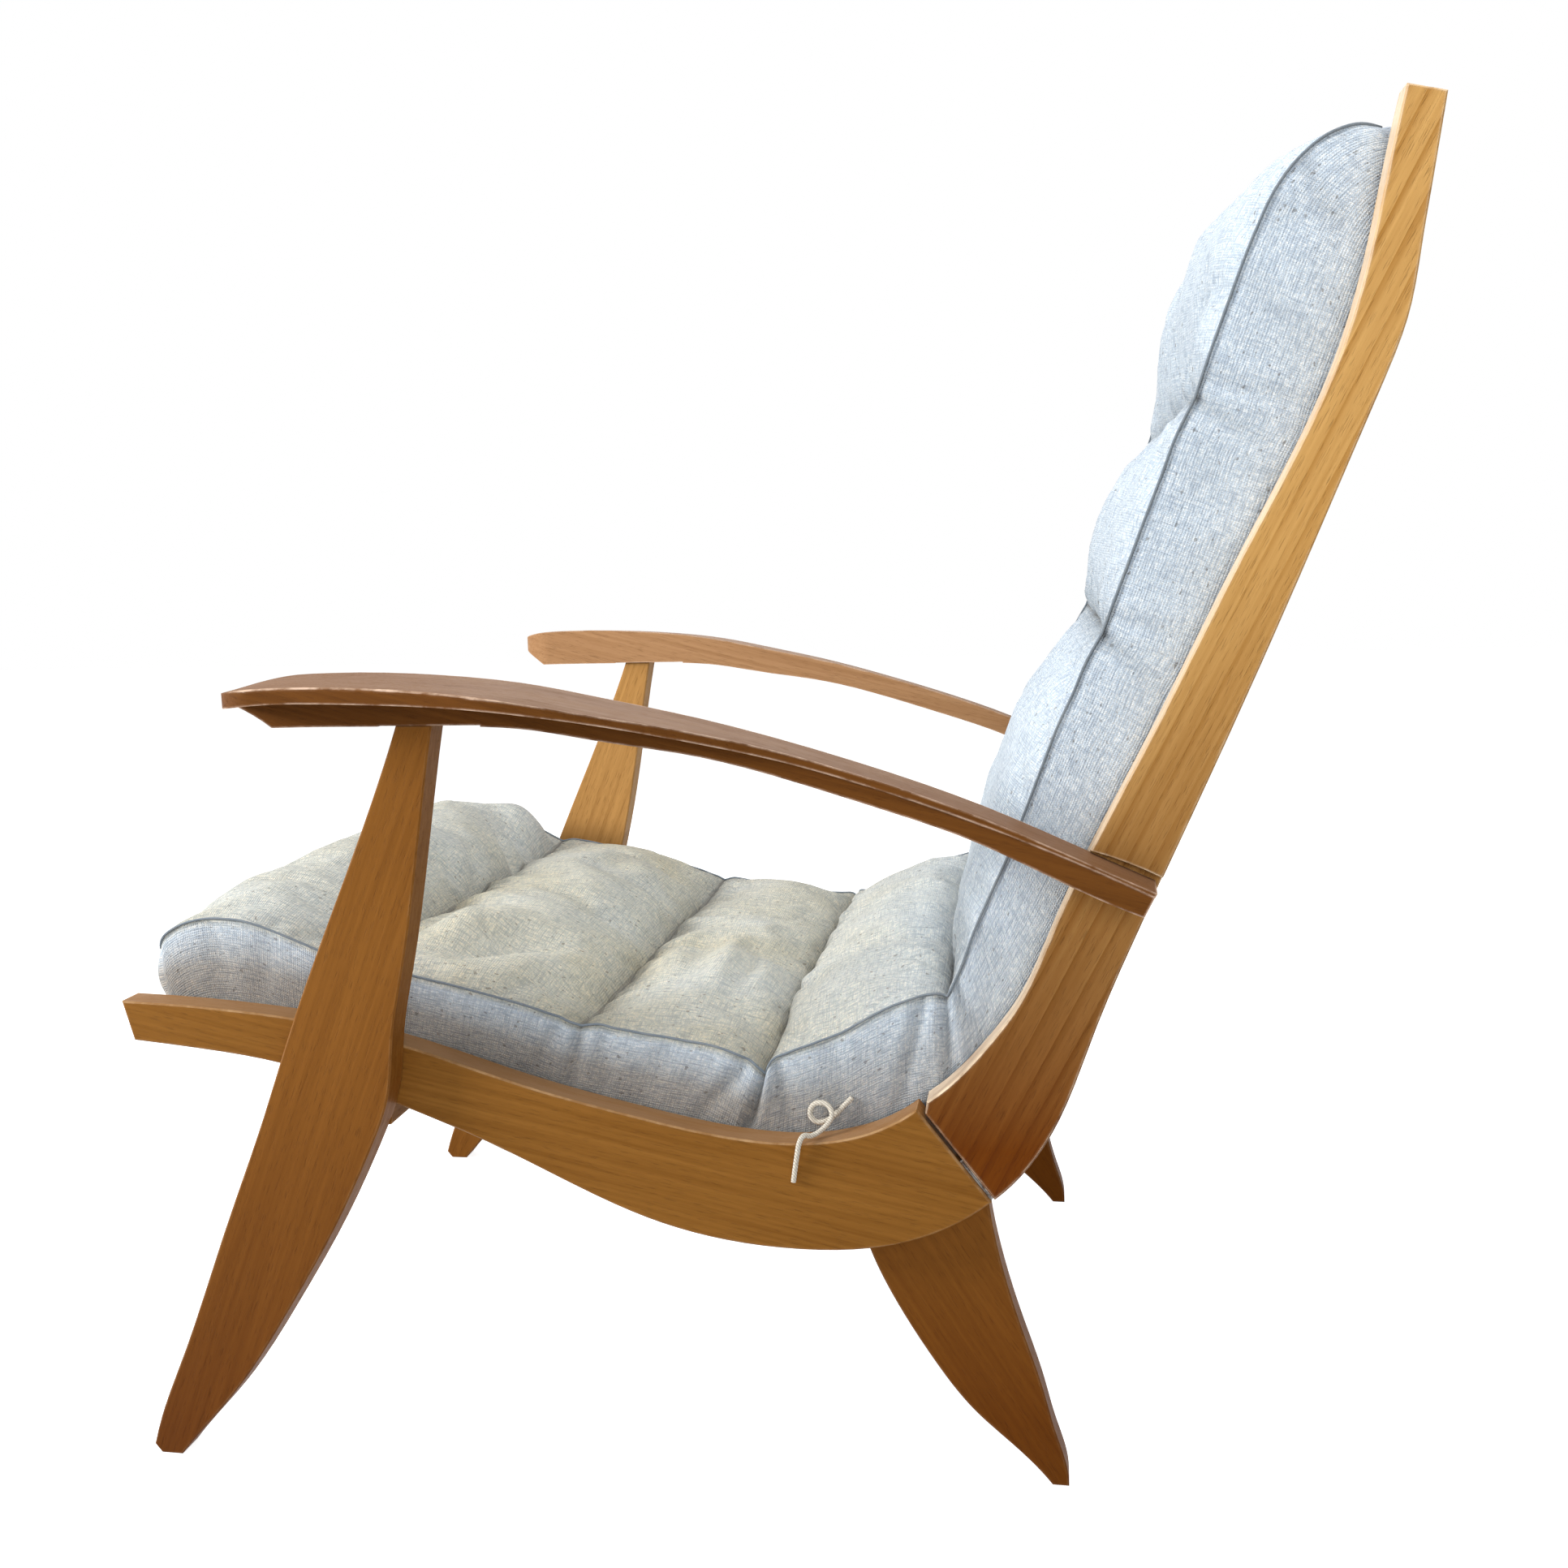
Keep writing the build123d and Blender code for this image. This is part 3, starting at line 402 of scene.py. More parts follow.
def plank_material(name, lean, shift, pale, deep, pore, wear_and_highlight, figure=0.35, wear_and_highlight_amount=0.7,
                   rubbed=None, rubbed_side=(0, 0, 1), rubbed_amount=0.0,
                   age_and_shade=None, age_and_shade_low=0.0, age_and_shade_high=1.0, across=False):
    """Oiled wood with its grain along a line that leans by an angle in the chair's side view.

    It can be rubbed on one side, and darkened between two heights in metres, towards the lower one, as age
    and as painted shade.
    """
    material, made, principled = new_material(name)
    place = object_place(made)
    turn = made.nodes.new("ShaderNodeMapping")
    quarter_turn = math.radians(90.0 if across else 0.0)
    turn.inputs["Rotation"].default_value = (0.0, math.radians(lean), quarter_turn)
    turn.inputs["Location"].default_value = shift
    made.links.new(place, turn.inputs["Vector"])
    vector = turn.outputs["Vector"]
    grain = placed_group(made, grain_group, {"Pale": pale, "Deep": deep, "Pore": pore, "Figure": figure},
                         {"Vector": vector})
    shown = grain.outputs["Color"]
    # Darker towards the lower height: partly age, partly painted shade from the light falling from above.
    if age_and_shade:
        parts = made.nodes.new("ShaderNodeSeparateXYZ")
        made.links.new(place, parts.inputs[0])
        low = spread(made, parts.outputs["Z"], age_and_shade_high, age_and_shade_low)
        shown = blended(made, low, shown, age_and_shade, "MULTIPLY")
    if rubbed:
        rub = placed_group(made, rub_group,
                           {"Rubbed": rubbed, "Direction": rubbed_side, "Amount": rubbed_amount},
                           {"Color": shown, "Vector": vector})
        shown = rub.outputs["Color"]
    wear = placed_group(made, arris_wear_and_highlight_group, {"Wear and highlight": wear_and_highlight, "Amount": wear_and_highlight_amount},
                        {"Vector": vector, "Color": shown})
    finish(made, principled, wear.outputs["Color"], grain.outputs["Roughness"],
           bumped(made, grain.outputs["Height"], 0.00025, 0.6))
    principled.inputs["Specular IOR Level"].default_value = 0.13
    principled.inputs["Specular Tint"].default_value = (1.0, 0.74, 0.42, 1)
    return material


def finish_node(node, material):
    """Gives a solid of the frame its finish."""
    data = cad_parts[node].data
    data.materials.clear()
    data.materials.append(material)


honey_pale = (0.310, 0.135, 0.026, 1)
honey_deep = (0.150, 0.053, 0.006, 1)
honey_pore = (0.060, 0.020, 0.004, 1)
# The worn colour is wear on the arrises and also a painted highlight there.
honey_wear_and_highlight = (0.52, 0.33, 0.17, 1)
honey_rubbed = (0.34, 0.20, 0.105, 1)
rail_wood = plank_material("rail_wood", -12.0, (0.0, 0.0, 0.0), honey_pale, honey_deep, honey_pore,
                           honey_wear_and_highlight, figure=0.30, wear_and_highlight_amount=0.65, rubbed=honey_rubbed, rubbed_amount=0.8)
for node in ("seat_rail_left", "seat_rail_right"):
    finish_node(node, rail_wood)
cross_wood = plank_material("cross_rail_wood", 0.0, (0.3, 0.2, 0.1), honey_pale, honey_deep, honey_pore,
                            honey_wear_and_highlight, across=True)
for node in ("seat_front_cross_rail", "seat_rear_cross_rail", "back_lower_cross_rail",
             "back_top_cross_rail"):
    finish_node(node, cross_wood)

# Back posts: planks with long flame lines of late wood, bleached yellow towards the top and red-brown at the
# foot, and painted lighter above and darker below as light and shade. Their front faces have worn almost
# white where the mattress rubs.
post_pale = (0.78, 0.46, 0.160, 1)
post_deep = (0.42, 0.190, 0.038, 1)
# The worn colour is wear on the arrises and also a painted highlight there.
post_wear_and_highlight = (0.86, 0.70, 0.50, 1)
post_rubbed = (0.80, 0.66, 0.50, 1)
# The foot colour darkens the posts downwards: partly age, partly painted shade.
post_age_and_shade = (0.21, 0.09, 0.015, 1)
post_front = (-0.9, 0.0, 0.44)
post_wood = plank_material("post_wood", 63.0, (0.7, 0.0, 0.35), post_pale, post_deep, honey_pore, post_wear_and_highlight,
                           figure=1.2, wear_and_highlight_amount=0.85,
                           rubbed=post_rubbed, rubbed_side=post_front, rubbed_amount=0.85,
                           age_and_shade=post_age_and_shade, age_and_shade_low=0.28, age_and_shade_high=0.72)
for node in ("back_post_left", "back_post_right"):
    finish_node(node, post_wood)

# Legs: blades of a browner board, red-brown and darker towards the floor, with the grain down the blade. The
# sitter's right leg is painted lighter than the left, as lit: the two are lit and shaded copies of one wood.
leg_pale = (0.305, 0.122, 0.022, 1)
leg_deep = (0.160, 0.054, 0.007, 1)
leg_pore = (0.055, 0.017, 0.004, 1)
# The worn colour is wear on the arrises and also a painted highlight there.
leg_wear_and_highlight = (0.42, 0.24, 0.11, 1)
# The legs darken towards the floor: painted shade from the light falling from above, with the wood's redder
# tone low down.
leg_age_and_shade = (0.52, 0.38, 0.20, 1)
rear_leg_age_and_shade = (0.50, 0.36, 0.14, 1)
lit_leg_pale = (0.58, 0.310, 0.100, 1)
lit_leg_deep = (0.34, 0.160, 0.045, 1)
leg_wood = plank_material("leg_wood", 68.0, (0.2, 0.0, 1.7), leg_pale, leg_deep, leg_pore, leg_wear_and_highlight,
                          wear_and_highlight_amount=0.5, age_and_shade=leg_age_and_shade, age_and_shade_low=0.02, age_and_shade_high=0.42)
finish_node("front_leg_left", leg_wood)
lit_leg_wood = plank_material("lit_leg_wood", 68.0, (0.9, 0.0, 0.7), lit_leg_pale, lit_leg_deep,
                                leg_pore, leg_wear_and_highlight, figure=0.6, age_and_shade=leg_age_and_shade, age_and_shade_low=0.02,
                                age_and_shade_high=0.42)
finish_node("front_leg_right", lit_leg_wood)
rear_leg_wood = plank_material("rear_leg_wood", -58.0, (1.2, 0.0, 0.4), leg_pale, leg_deep, leg_pore,
                               leg_wear_and_highlight, wear_and_highlight_amount=0.5, age_and_shade=rear_leg_age_and_shade, age_and_shade_low=0.05,
                               age_and_shade_high=0.30)
for node in ("rear_leg_left", "rear_leg_right"):
    finish_node(node, rear_leg_wood)

# Arms: boards of a pinkish brown, rubbed matt and pale on top by the sitter's forearms, with a chipped pale
# line along the outer arris. The right arm is painted lighter than the left, as lit, and the left arm's
# darker colours are its shaded copy.
arm_pale = (0.180, 0.064, 0.012, 1)
arm_deep = (0.078, 0.024, 0.004, 1)
lit_arm_pale = (0.46, 0.255, 0.125, 1)
lit_arm_deep = (0.28, 0.132, 0.055, 1)
arm_rubbed = (0.225, 0.118, 0.060, 1)
# The pale chipped line along the outer arris is wear and also a painted highlight.
arm_wear_and_highlight = (0.70, 0.50, 0.37, 1)
arm_wood = plank_material("arm_wood", -14.0, (0.9, 0.1, 0.6), arm_pale, arm_deep, leg_pore, arm_wear_and_highlight,
                          wear_and_highlight_amount=0.95, rubbed=arm_rubbed, rubbed_amount=0.9)
finish_node("arm_left", arm_wood)
lit_arm_wood = plank_material("lit_arm_wood", -14.0, (0.1, 0.5, 0.2), lit_arm_pale, lit_arm_deep,
                                leg_pore, arm_wear_and_highlight, rubbed=arm_rubbed, rubbed_amount=0.9)
finish_node("arm_right", lit_arm_wood)

# Dowels: turned pegs of the same wood as the legs, glued across the joints between the planks. They are
# hidden in the wood.
dowel_wood = plank_material("dowel_wood", 90.0, (0.4, 0.4, 0.0), leg_pale, leg_deep, leg_pore, leg_wear_and_highlight)
finish_node("frame_dowels", dowel_wood)

# Hinges, pins, guide screws and wire hooks: mild steel that has gone brown and dull with age, with a
# brighter sheen only where the rust is thin.
steel_grey = (0.28, 0.26, 0.24, 1)
steel_rust = (0.09, 0.045, 0.025, 1)
steel, tree, shader = new_material("aged_steel")
where = object_place(tree)
stain = mottled(tree, where, 140.0, 4.0, 0.6)
scratch = mottled(tree, stretched(tree, where, (500.0, 60.0, 500.0)), 1.0, 2.0)
rust = spread(tree, stain, 0.45, 0.62)
colour = blended(tree, rust, steel_grey, steel_rust)
tree.links.new(spread(tree, rust, 0.0, 1.0, 0.9, 0.25), shader.inputs["Metallic"])
finish(tree, shader, colour, spread(tree, scratch, 0.2, 0.8, 0.38, 0.62), bumped(tree, scratch, 0.0001))
for node in ("hinge_leaf_seat_left", "hinge_leaf_seat_right", "hinge_leaf_back_left",
             "hinge_leaf_back_right", "hinge_pins", "arm_guide_screws", "seat_spring_hooks",
             "back_spring_hooks"):
    finish_node(node, steel)

# Spring sleeves: tubes of tan cotton drawn over the tension springs across the frame. The coils show through
# as fine ribs, with painted shade between them.
sleeve_dark = (0.30, 0.235, 0.155, 1)
sleeve_light = (0.46, 0.385, 0.275, 1)
sleeve_coil_shade = (0.13, 0.10, 0.07, 1)
sleeve, tree, shader = new_material("spring_sleeve")
where = object_place(tree)
coils = banded(tree, where, "Y", 52.0, 0.3)
threads = mottled(tree, stretched(tree, where, (900.0, 260.0, 900.0)), 1.0, 2.0)
colour = blended(tree, threads, sleeve_dark, sleeve_light)
# Painted shade in the grooves between the coils.
colour = blended(tree, spread(tree, coils, 0.0, 1.0, 0.25, 0.0), colour, sleeve_coil_shade)
finish(tree, shader, colour, spread(tree, threads, 0.0, 1.0, 0.78, 0.95), bumped(tree, coils, 0.0008, 0.7))
for node in ("seat_springs", "back_springs"):
    finish_node(node, sleeve)

# The mattress: one long box-edged cushion of marled wool cloth over a stuffed pad, sewn across into four
# seat and three back channels. It lies on the springs and bends in a crease at the seat's back. Its sizes
# are in millimetres, with x from the rails' front ends back and z from the floor up.
mattress_half = 273.0

# The upper edge of the rail and the front edge of the post. The mattress's underside lies a little below and
# behind this line, on the springs.
frame_line = [
    (0, 377), (36, 376), (71, 374), (106, 371), (150, 366), (205, 354), (261, 340), (307, 326),
    (372, 309), (423, 296), (461, 288), (499, 281.5), (530, 279), (561, 280), (586, 285), (610, 293),
    (628, 302), (648, 317), (671, 336), (692, 359), (713, 388), (727, 417), (742, 450), (773, 512),
    (805, 580), (830, 634), (856, 690), (883, 745), (904, 790), (926, 838), (936, 868), (944, 909),
    (950, 949), (958, 988), (963, 1007),
]
line_sink = 12.0
line_points = 1600
underside_start = 18.0

# Each channel: where its underside ends in x or z, its crown, the seam's dip at its end and its side line,
# which is the piping on the sitter's left
channels = [
    (("x", 182.0), 17.0, 7.0, [(15, 411), (22, 422), (35, 431), (52, 437), (74, 439), (96, 437), (118, 430),
                               (142, 421), (163, 412), (178, 404), (186, 400)]),
    (("x", 356.0), 16.0, 9.0, [(186, 400), (196, 402), (215, 400), (242, 394), (270, 388), (299, 381),
                               (330, 373), (355, 365), (375, 357)]),
    (("x", 503.0), 12.0, 7.0, [(375, 357), (385, 359), (405, 356), (430, 352), (458, 348), (482, 344),
                               (502, 337), (514, 330), (521, 322)]),
    (("x", 650.0), 19.0, 16.0, [(521, 322), (526, 333), (540, 341), (558, 348), (580, 357), (602, 370),
                                (621, 380), (640, 387), (654, 390), (662, 388)]),
    (("z", 634.0), 18.0, 10.0, [(662, 388), (667, 398), (673, 412), (682, 437), (694, 465), (707, 494),
                                (720, 528), (733, 563), (744, 592), (755, 616), (764, 638), (775, 658)]),
    (("z", 794.0), 12.0, 9.0, [(775, 658), (784, 683), (795, 713), (806, 743), (815, 767), (824, 792),
                               (837, 819)]),
    (("z", 986.0), 18.0, 0.0, [(837, 819), (844, 841), (853, 867), (864, 898), (876, 929), (888, 954),
                               (903, 973), (921, 986), (940, 991), (955, 989)]),
]
steps_in_channel = 44
columns = 84
rows = 10
even_share = 0.35
crowded_share = 0.65


def eased(share):
    """Shares from 0 to 1 that crowd towards both ends."""
    return even_share * share + crowded_share * (1 - np.cos(np.pi * share)) / 2


def smooth_line(points, count, ease=False):
    """Points along a smooth curve through the given ones. With ease they crowd towards both ends."""
    given = np.array(points, float)
    gaps = np.linalg.norm(np.diff(given, axis=0), axis=1)
    marks = np.concatenate([[0], np.cumsum(gaps)])
    slopes = np.gradient(given, marks, axis=0)
    share = np.linspace(0, 1, count)
    if ease:
        share = eased(share)
    wanted = share * marks[-1]
    span = np.clip(np.searchsorted(marks, wanted, side="right") - 1, 0, len(given) - 2)
    width = (marks[span + 1] - marks[span])[:, None]
    t = ((wanted - marks[span]) / width[:, 0])[:, None]
    start_slope = slopes[span] * width
    end_slope = slopes[span + 1] * width
    first = given[span] * (2 * t ** 3 - 3 * t ** 2 + 1) + start_slope * (t ** 3 - 2 * t ** 2 + t)
    second = given[span + 1] * (3 * t ** 2 - 2 * t ** 3) + end_slope * (t ** 3 - t ** 2)
    return first + second


support = smooth_line(frame_line, line_points)
support_along = np.gradient(support, axis=0)
support_along /= np.linalg.norm(support_along, axis=1)[:, None]
underside = support + np.stack([support_along[:, 1], -support_along[:, 0]], axis=1) * line_sink


def underside_place(axis, value):
    """The place along the underside where it first reaches a value of x, or a value of z behind the dip."""
    column = 0 if axis == "x" else 1
    start = 0 if axis == "x" else len(support) // 2
    return start + int(np.argmax(support[start:, column] >= value))


side_top = []
side_low = []
channel_share = []
channel_number = []
low_from = underside_place("x", underside_start)
for number, (end, crown, dip, line) in enumerate(channels):
    low_to = underside_place(*end)
    upper = smooth_line(line, steps_in_channel + 1, ease=True)
    share = eased(np.linspace(0, 1, steps_in_channel + 1))
    picks = low_from + share * (low_to - low_from)
    places = np.arange(len(underside))
    lower = np.stack([np.interp(picks, places, underside[:, axis]) for axis in (0, 1)], axis=1)
    keep = slice(0, steps_in_channel + (number == len(channels) - 1))
    side_top.append(upper[keep])
    side_low.append(lower[keep])
    channel_share.append(share[keep])
    channel_number.append(np.full(len(share[keep]), number))
    low_from = low_to
side_top = np.concatenate(side_top)
side_low = np.concatenate(side_low)
channel_share = np.concatenate(channel_share)
channel_number = np.concatenate(channel_number)
stations = len(side_top)
last_row = stations - 1

# The direction out of the mattress, smoothed along it, and the places of its rows and columns
smoothing_passes = 10
outward = side_top - side_low
outward /= np.linalg.norm(outward, axis=1)[:, None]
for _ in range(smoothing_passes):
    outward[1:-1] = (outward[:-2] + 2 * outward[1:-1] + outward[2:]) / 4
outward /= np.linalg.norm(outward, axis=1)[:, None]
path = np.concatenate([[0], np.cumsum(np.linalg.norm(np.diff(side_top, axis=0), axis=1))])
even_columns = np.linspace(-1, 1, columns + 1)
side_crowding = 0.45
even_spacing = 0.55
across = side_crowding * np.sin(even_columns * np.pi / 2) + even_spacing * even_columns

# Each channel rises steeply from its seams to its crown. The last one runs over the top of the back.
puff_power = 0.55
top_puff_power = 0.75
top_puff_lean = 1.25
top_puff_end = 0.98
seam_closeness = 9
crown_side_power = 3.2
seam_side_power = 6
crowns = np.array([row[1] for row in channels])
dips = np.array([row[2] for row in channels])
puff = np.sin(np.pi * np.clip(channel_share, 0, 1)) ** puff_power
last = channel_number == len(channels) - 1
top_share = np.clip(channel_share[last] * top_puff_end, 0, 1) ** top_puff_lean
puff[last] = np.sin(np.pi * top_share) ** top_puff_power
dip_before = np.concatenate([[0.0], dips[:-1]])[channel_number]
dip_after = dips[channel_number]
seam_before = np.exp(-channel_share * seam_closeness) * dip_before
seam_near = seam_before + np.exp(-(1 - channel_share) * seam_closeness) * dip_after
middle = 1 - np.abs(across) ** crown_side_power
seam_middle = 1 - np.abs(across) ** seam_side_power
crown_height = np.outer(crowns[channel_number] * puff, middle) - np.outer(seam_near, seam_middle)
seam_path = [path[number * steps_in_channel] for number in range(len(channels))]
across_mm = across * mattress_half

# Pulls and slack in the cloth: the larger folds of the photograph, and small gathers that run out of the
# seams. Each large fold has a seam's number, its place along the mattress from there and across it, its
# direction in degrees, half its length, its width and its depth. The gathers' ranges have the same order.
large_folds = [
    (0, 160, 142, -56, 34, 8, 6.5), (0, 178, 132, -62, 32, 7, 6.0), (0, 150, 232, 90, 52, 28, -9.0),
    (0, 110, 215, 90, 70, 40, -5.0), (0, 168, 40, -70, 40, 9, 4.0), (1, 96, -190, 51, 85, 24, 8.0),
    (1, 62, -130, 60, 60, 22, -4.0), (1, 30, -170, 76, 55, 12, 4.0), (1, 105, 120, 75, 60, 16, 3.0),
    (1, 176, 60, -60, 40, 12, 4.0), (2, 58, -80, -88, 130, 14, 3.6), (2, 101, -110, -87, 140, 13, 4.2),
    (2, 124, -60, -82, 160, 12, 3.2), (2, 24, -60, 20, 40, 12, 4.5), (2, 30, 60, -18, 44, 12, 4.0),
    (2, 18, -180, 20, 34, 9, 4.0), (3, 18, -150, -24, 34, 9, 4.0), (3, 28, 60, 10, 44, 12, 3.0),
    (3, 108, 0, 85, 80, 14, 3.0), (4, 20, -215, 24, 36, 8, 5.0), (4, 33, -150, -12, 40, 10, 4.0),
    (4, 26, 60, 8, 46, 12, 3.5), (4, -24, -190, -32, 40, 8, 5.0), (4, -18, -110, 6, 36, 9, 4.0),
]
folds = [(seam_path[seam] + offset, *rest) for seam, offset, *rest in large_folds]
gathers_per_seam = 22
gather_offsets = (9, 24)
gather_ranges = [(-262, 262), (-26, 26), (12, 30), (3.2, 6.5), (1.2, 3.2)]
chance = np.random.default_rng(7)
for seam in range(1, len(channels)):
    for _ in range(gathers_per_seam):
        side = chance.choice([-1, 1])
        offset = side * chance.uniform(*gather_offsets)
        rest = [chance.uniform(*ends) for ends in gather_ranges]
        folds.append((seam_path[seam] + offset, *rest))
fold_gain = 1.7
fold_taper_power = 1.5
rim_share = 0.5
rim_place = 1.8
rim_width = 0.8
slack = np.zeros((stations, columns + 1))
for fold_path, fold_y, angle, half_long, width, depth in folds:
    turn = math.radians(angle)
    ahead = path[:, None] - fold_path
    aside = across_mm[None, :] - fold_y
    run = ahead * math.cos(turn) + aside * math.sin(turn)
    off = (aside * math.cos(turn) - ahead * math.sin(turn)) / width
    taper = np.clip(1 - (run / half_long) ** 2, 0, 1) ** fold_taper_power
    rim = np.exp(-((np.abs(off) - rim_place) / rim_width) ** 2)
    slack -= fold_gain * depth * taper * (np.exp(-off ** 2) - rim_share * rim)
broad_lumps = 6.5
fine_lumps = 2.2
fine_lump_rate = 2.7
lump_rate_along = 0.012
lump_rate_across = 4.2
lump_start = 1.7
for row in range(stations):
    for column in range(columns + 1):
        spot = Vector((path[row] * lump_rate_along, across[column] * lump_rate_across, lump_start))
        lump = broad_lumps * noise.noise(spot) + fine_lumps * noise.noise(spot * fine_lump_rate)
        slack[row, column] += lump

# The slack is held at the edges and ends. On the near side the fourth channel's front seam is drawn down
# into a notch, and from there the seam rises over its first stretch.
hold_rate = 9
end_hold_length = 50
seam_lift = 17.0
seam_lift_length = 26.0
seam_lift_width = 95.0
edge_hold = np.clip((1 - np.abs(across)) * hold_rate, 0, 1)
end_hold = np.clip(np.minimum(path, path[-1] - path) / end_hold_length, 0, 1)
crown_height += slack * edge_hold[None, :] * end_hold[:, None]
pinch = np.exp(-((path - seam_path[3]) / seam_lift_length) ** 2)
lift = np.clip((across + 1) * mattress_half / seam_lift_width, 0, 1)
crown_height += seam_lift * np.outer(pinch, lift * lift * (3 - 2 * lift))

# The side bands are drawn in below the seams in steep folds: seam number, offset, slant, width and depth.
band_folds = [
    (0, 60, 12, 9, 1.6), (0, 112, -10, 9, 1.6), (1, 6, 10, 6, 3.0), (1, 20, -14, 5, 2.0), (2, 0, 8, 6, 5.5),
    (2, -17, -20, 6, 3.0), (2, 16, 24, 6, 2.8), (2, 70, -8, 10, 1.6), (3, 0, 2, 6, 9.5), (3, 16, 28, 7, 4.5),
    (3, -16, -28, 7, 4.5), (3, 62, 18, 9, 2.5), (4, -2, 10, 6, 6.5), (4, 14, 30, 6, 4.5),
    (4, -18, -24, 7, 4.5), (4, 60, 26, 10, 2.2), (5, 0, -24, 7, 3.8), (5, 14, 8, 6, 2.6),
    (6, 0, -22, 7, 3.8), (6, 14, 8, 6, 2.4), (6, 90, -36, 10, 2.2), (6, 170, -40, 9, 3.0),
    (6, 130, 30, 9, 2.0),
]
band_rim_share = 0.3
band_rim_place = 1.9
band_fade_rate = 1.2
band_fade_share = 0.55
band_fade_power = 4
band_unevenness = 1.1
band_rate_along = 0.03
band_rate_up = 0.22
band_start = 8.0
levels = np.arange(rows + 1) / rows
fade = np.clip(levels * band_fade_rate, 0, 1) * (1 - band_fade_share * levels ** band_fade_power)
band_in = np.zeros((stations, rows + 1))
for seam, offset, slant, width, depth in band_folds:
    off = (path[:, None] - seam_path[seam] - offset - slant * (1 - levels[None, :])) / width
    rim = np.exp(-((np.abs(off) - band_rim_place) / rim_width) ** 2)
    band_in += depth * (np.exp(-off ** 2) - band_rim_share * rim) * fade[None, :]
for row in range(stations):
    for level in range(rows):
        spot = Vector((path[row] * band_rate_along, level * band_rate_up, band_start))
        band_in[row, level] -= band_unevenness * noise.noise(spot)

front_corner_draw = 9.0
top_corner_draw = 7.0
corner_draw_length = 9.0
band_swell = 2.6
band_foot_draw = 1.2
widest_band = 3.4
front_swell = np.array([-9.0, 0.0])
front_side_loss = 0.4
front_side_power = 6
top_swell = np.array([1.0, 2.0])


def mattress_point(row, column, level):
    """A point of the mattress's skin: row along it, column across it and level from underside to top."""
    share = level / rows
    base = side_low[row] * (1 - share) + side_top[row] * share
    if level == rows:
        base = base + outward[row] * crown_height[row, column]
    swell = math.sin(math.pi * share)
    corner = front_corner_draw * math.exp(-path[row] / corner_draw_length)
    corner += top_corner_draw * math.exp(-(path[-1] - path[row]) / corner_draw_length)
    width = mattress_half - corner
    if column in (0, columns):
        width += min(band_swell * swell - band_foot_draw * (1 - share) - band_in[row, level], widest_band)
    if row == 0:
        base = base + front_swell * swell * (1 - front_side_loss * abs(across[column]) ** front_side_power)
    if row == last_row:
        base = base + top_swell * swell
    return centred(base[0], across[column] * width, base[1])


skin_points = []
skin_index = {}


def skin_vertex(row, column, level):
    """The number of a point of the skin, which is made when it is first asked for."""
    key = (row, column, level)
    if key not in skin_index:
        skin_index[key] = len(skin_points)
        skin_points.append(mattress_point(row, column, level))
    return skin_index[key]


skin_faces = []
skin_cloth = []
wall = np.linalg.norm(side_top - side_low, axis=1)
underside_shift = 1000


def cloth_corner(sheet, row, column, level):
    """A corner's place on the flat cloth, for the sheet of cloth that its face lies in."""
    drop = wall[row] * (1 - level / rows)
    return {
        "top": (path[row], across_mm[column]),
        "underside": (path[row], across_mm[column] + underside_shift),
        "near band": (path[row], -mattress_half - drop),
        "far band": (path[row], mattress_half + drop),
        "front": (-drop, across_mm[column]),
        "end": (path[row] + drop, across_mm[column]),
    }[sheet]


def skin_quad(sheet, keys):
    """One face of the skin, with the place of each corner on the flat cloth in metres."""
    skin_faces.append([skin_vertex(*key) for key in keys])
    for key in keys:
        u, v = cloth_corner(sheet, *key)
        skin_cloth.append((u * mm, v * mm))


one_way = ((0, 0), (1, 0), (1, 1), (0, 1))
other_way = ((0, 0), (0, 1), (1, 1), (1, 0))
for row in range(last_row):
    for column in range(columns):
        skin_quad("top", [(row + a, column + b, rows) for a, b in one_way])
        skin_quad("underside", [(row + a, column + b, 0) for a, b in other_way])
    for level in range(rows):
        skin_quad("near band", [(row + a, 0, level + b) for a, b in one_way])
        skin_quad("far band", [(row + a, columns, level + b) for a, b in other_way])
for column in range(columns):
    for level in range(rows):
        skin_quad("front", [(0, column + a, level + b) for a, b in other_way])
        skin_quad("end", [(last_row, column + a, level + b) for a, b in one_way])

mattress_mesh = bpy.data.meshes.new("mattress")
mattress_mesh.from_pydata([tuple(point) for point in skin_points], [], skin_faces)
cloth_map = mattress_mesh.uv_layers.new(name="cloth")
cloth_map.data.foreach_set("uv", np.array(skin_cloth, np.float32).ravel())

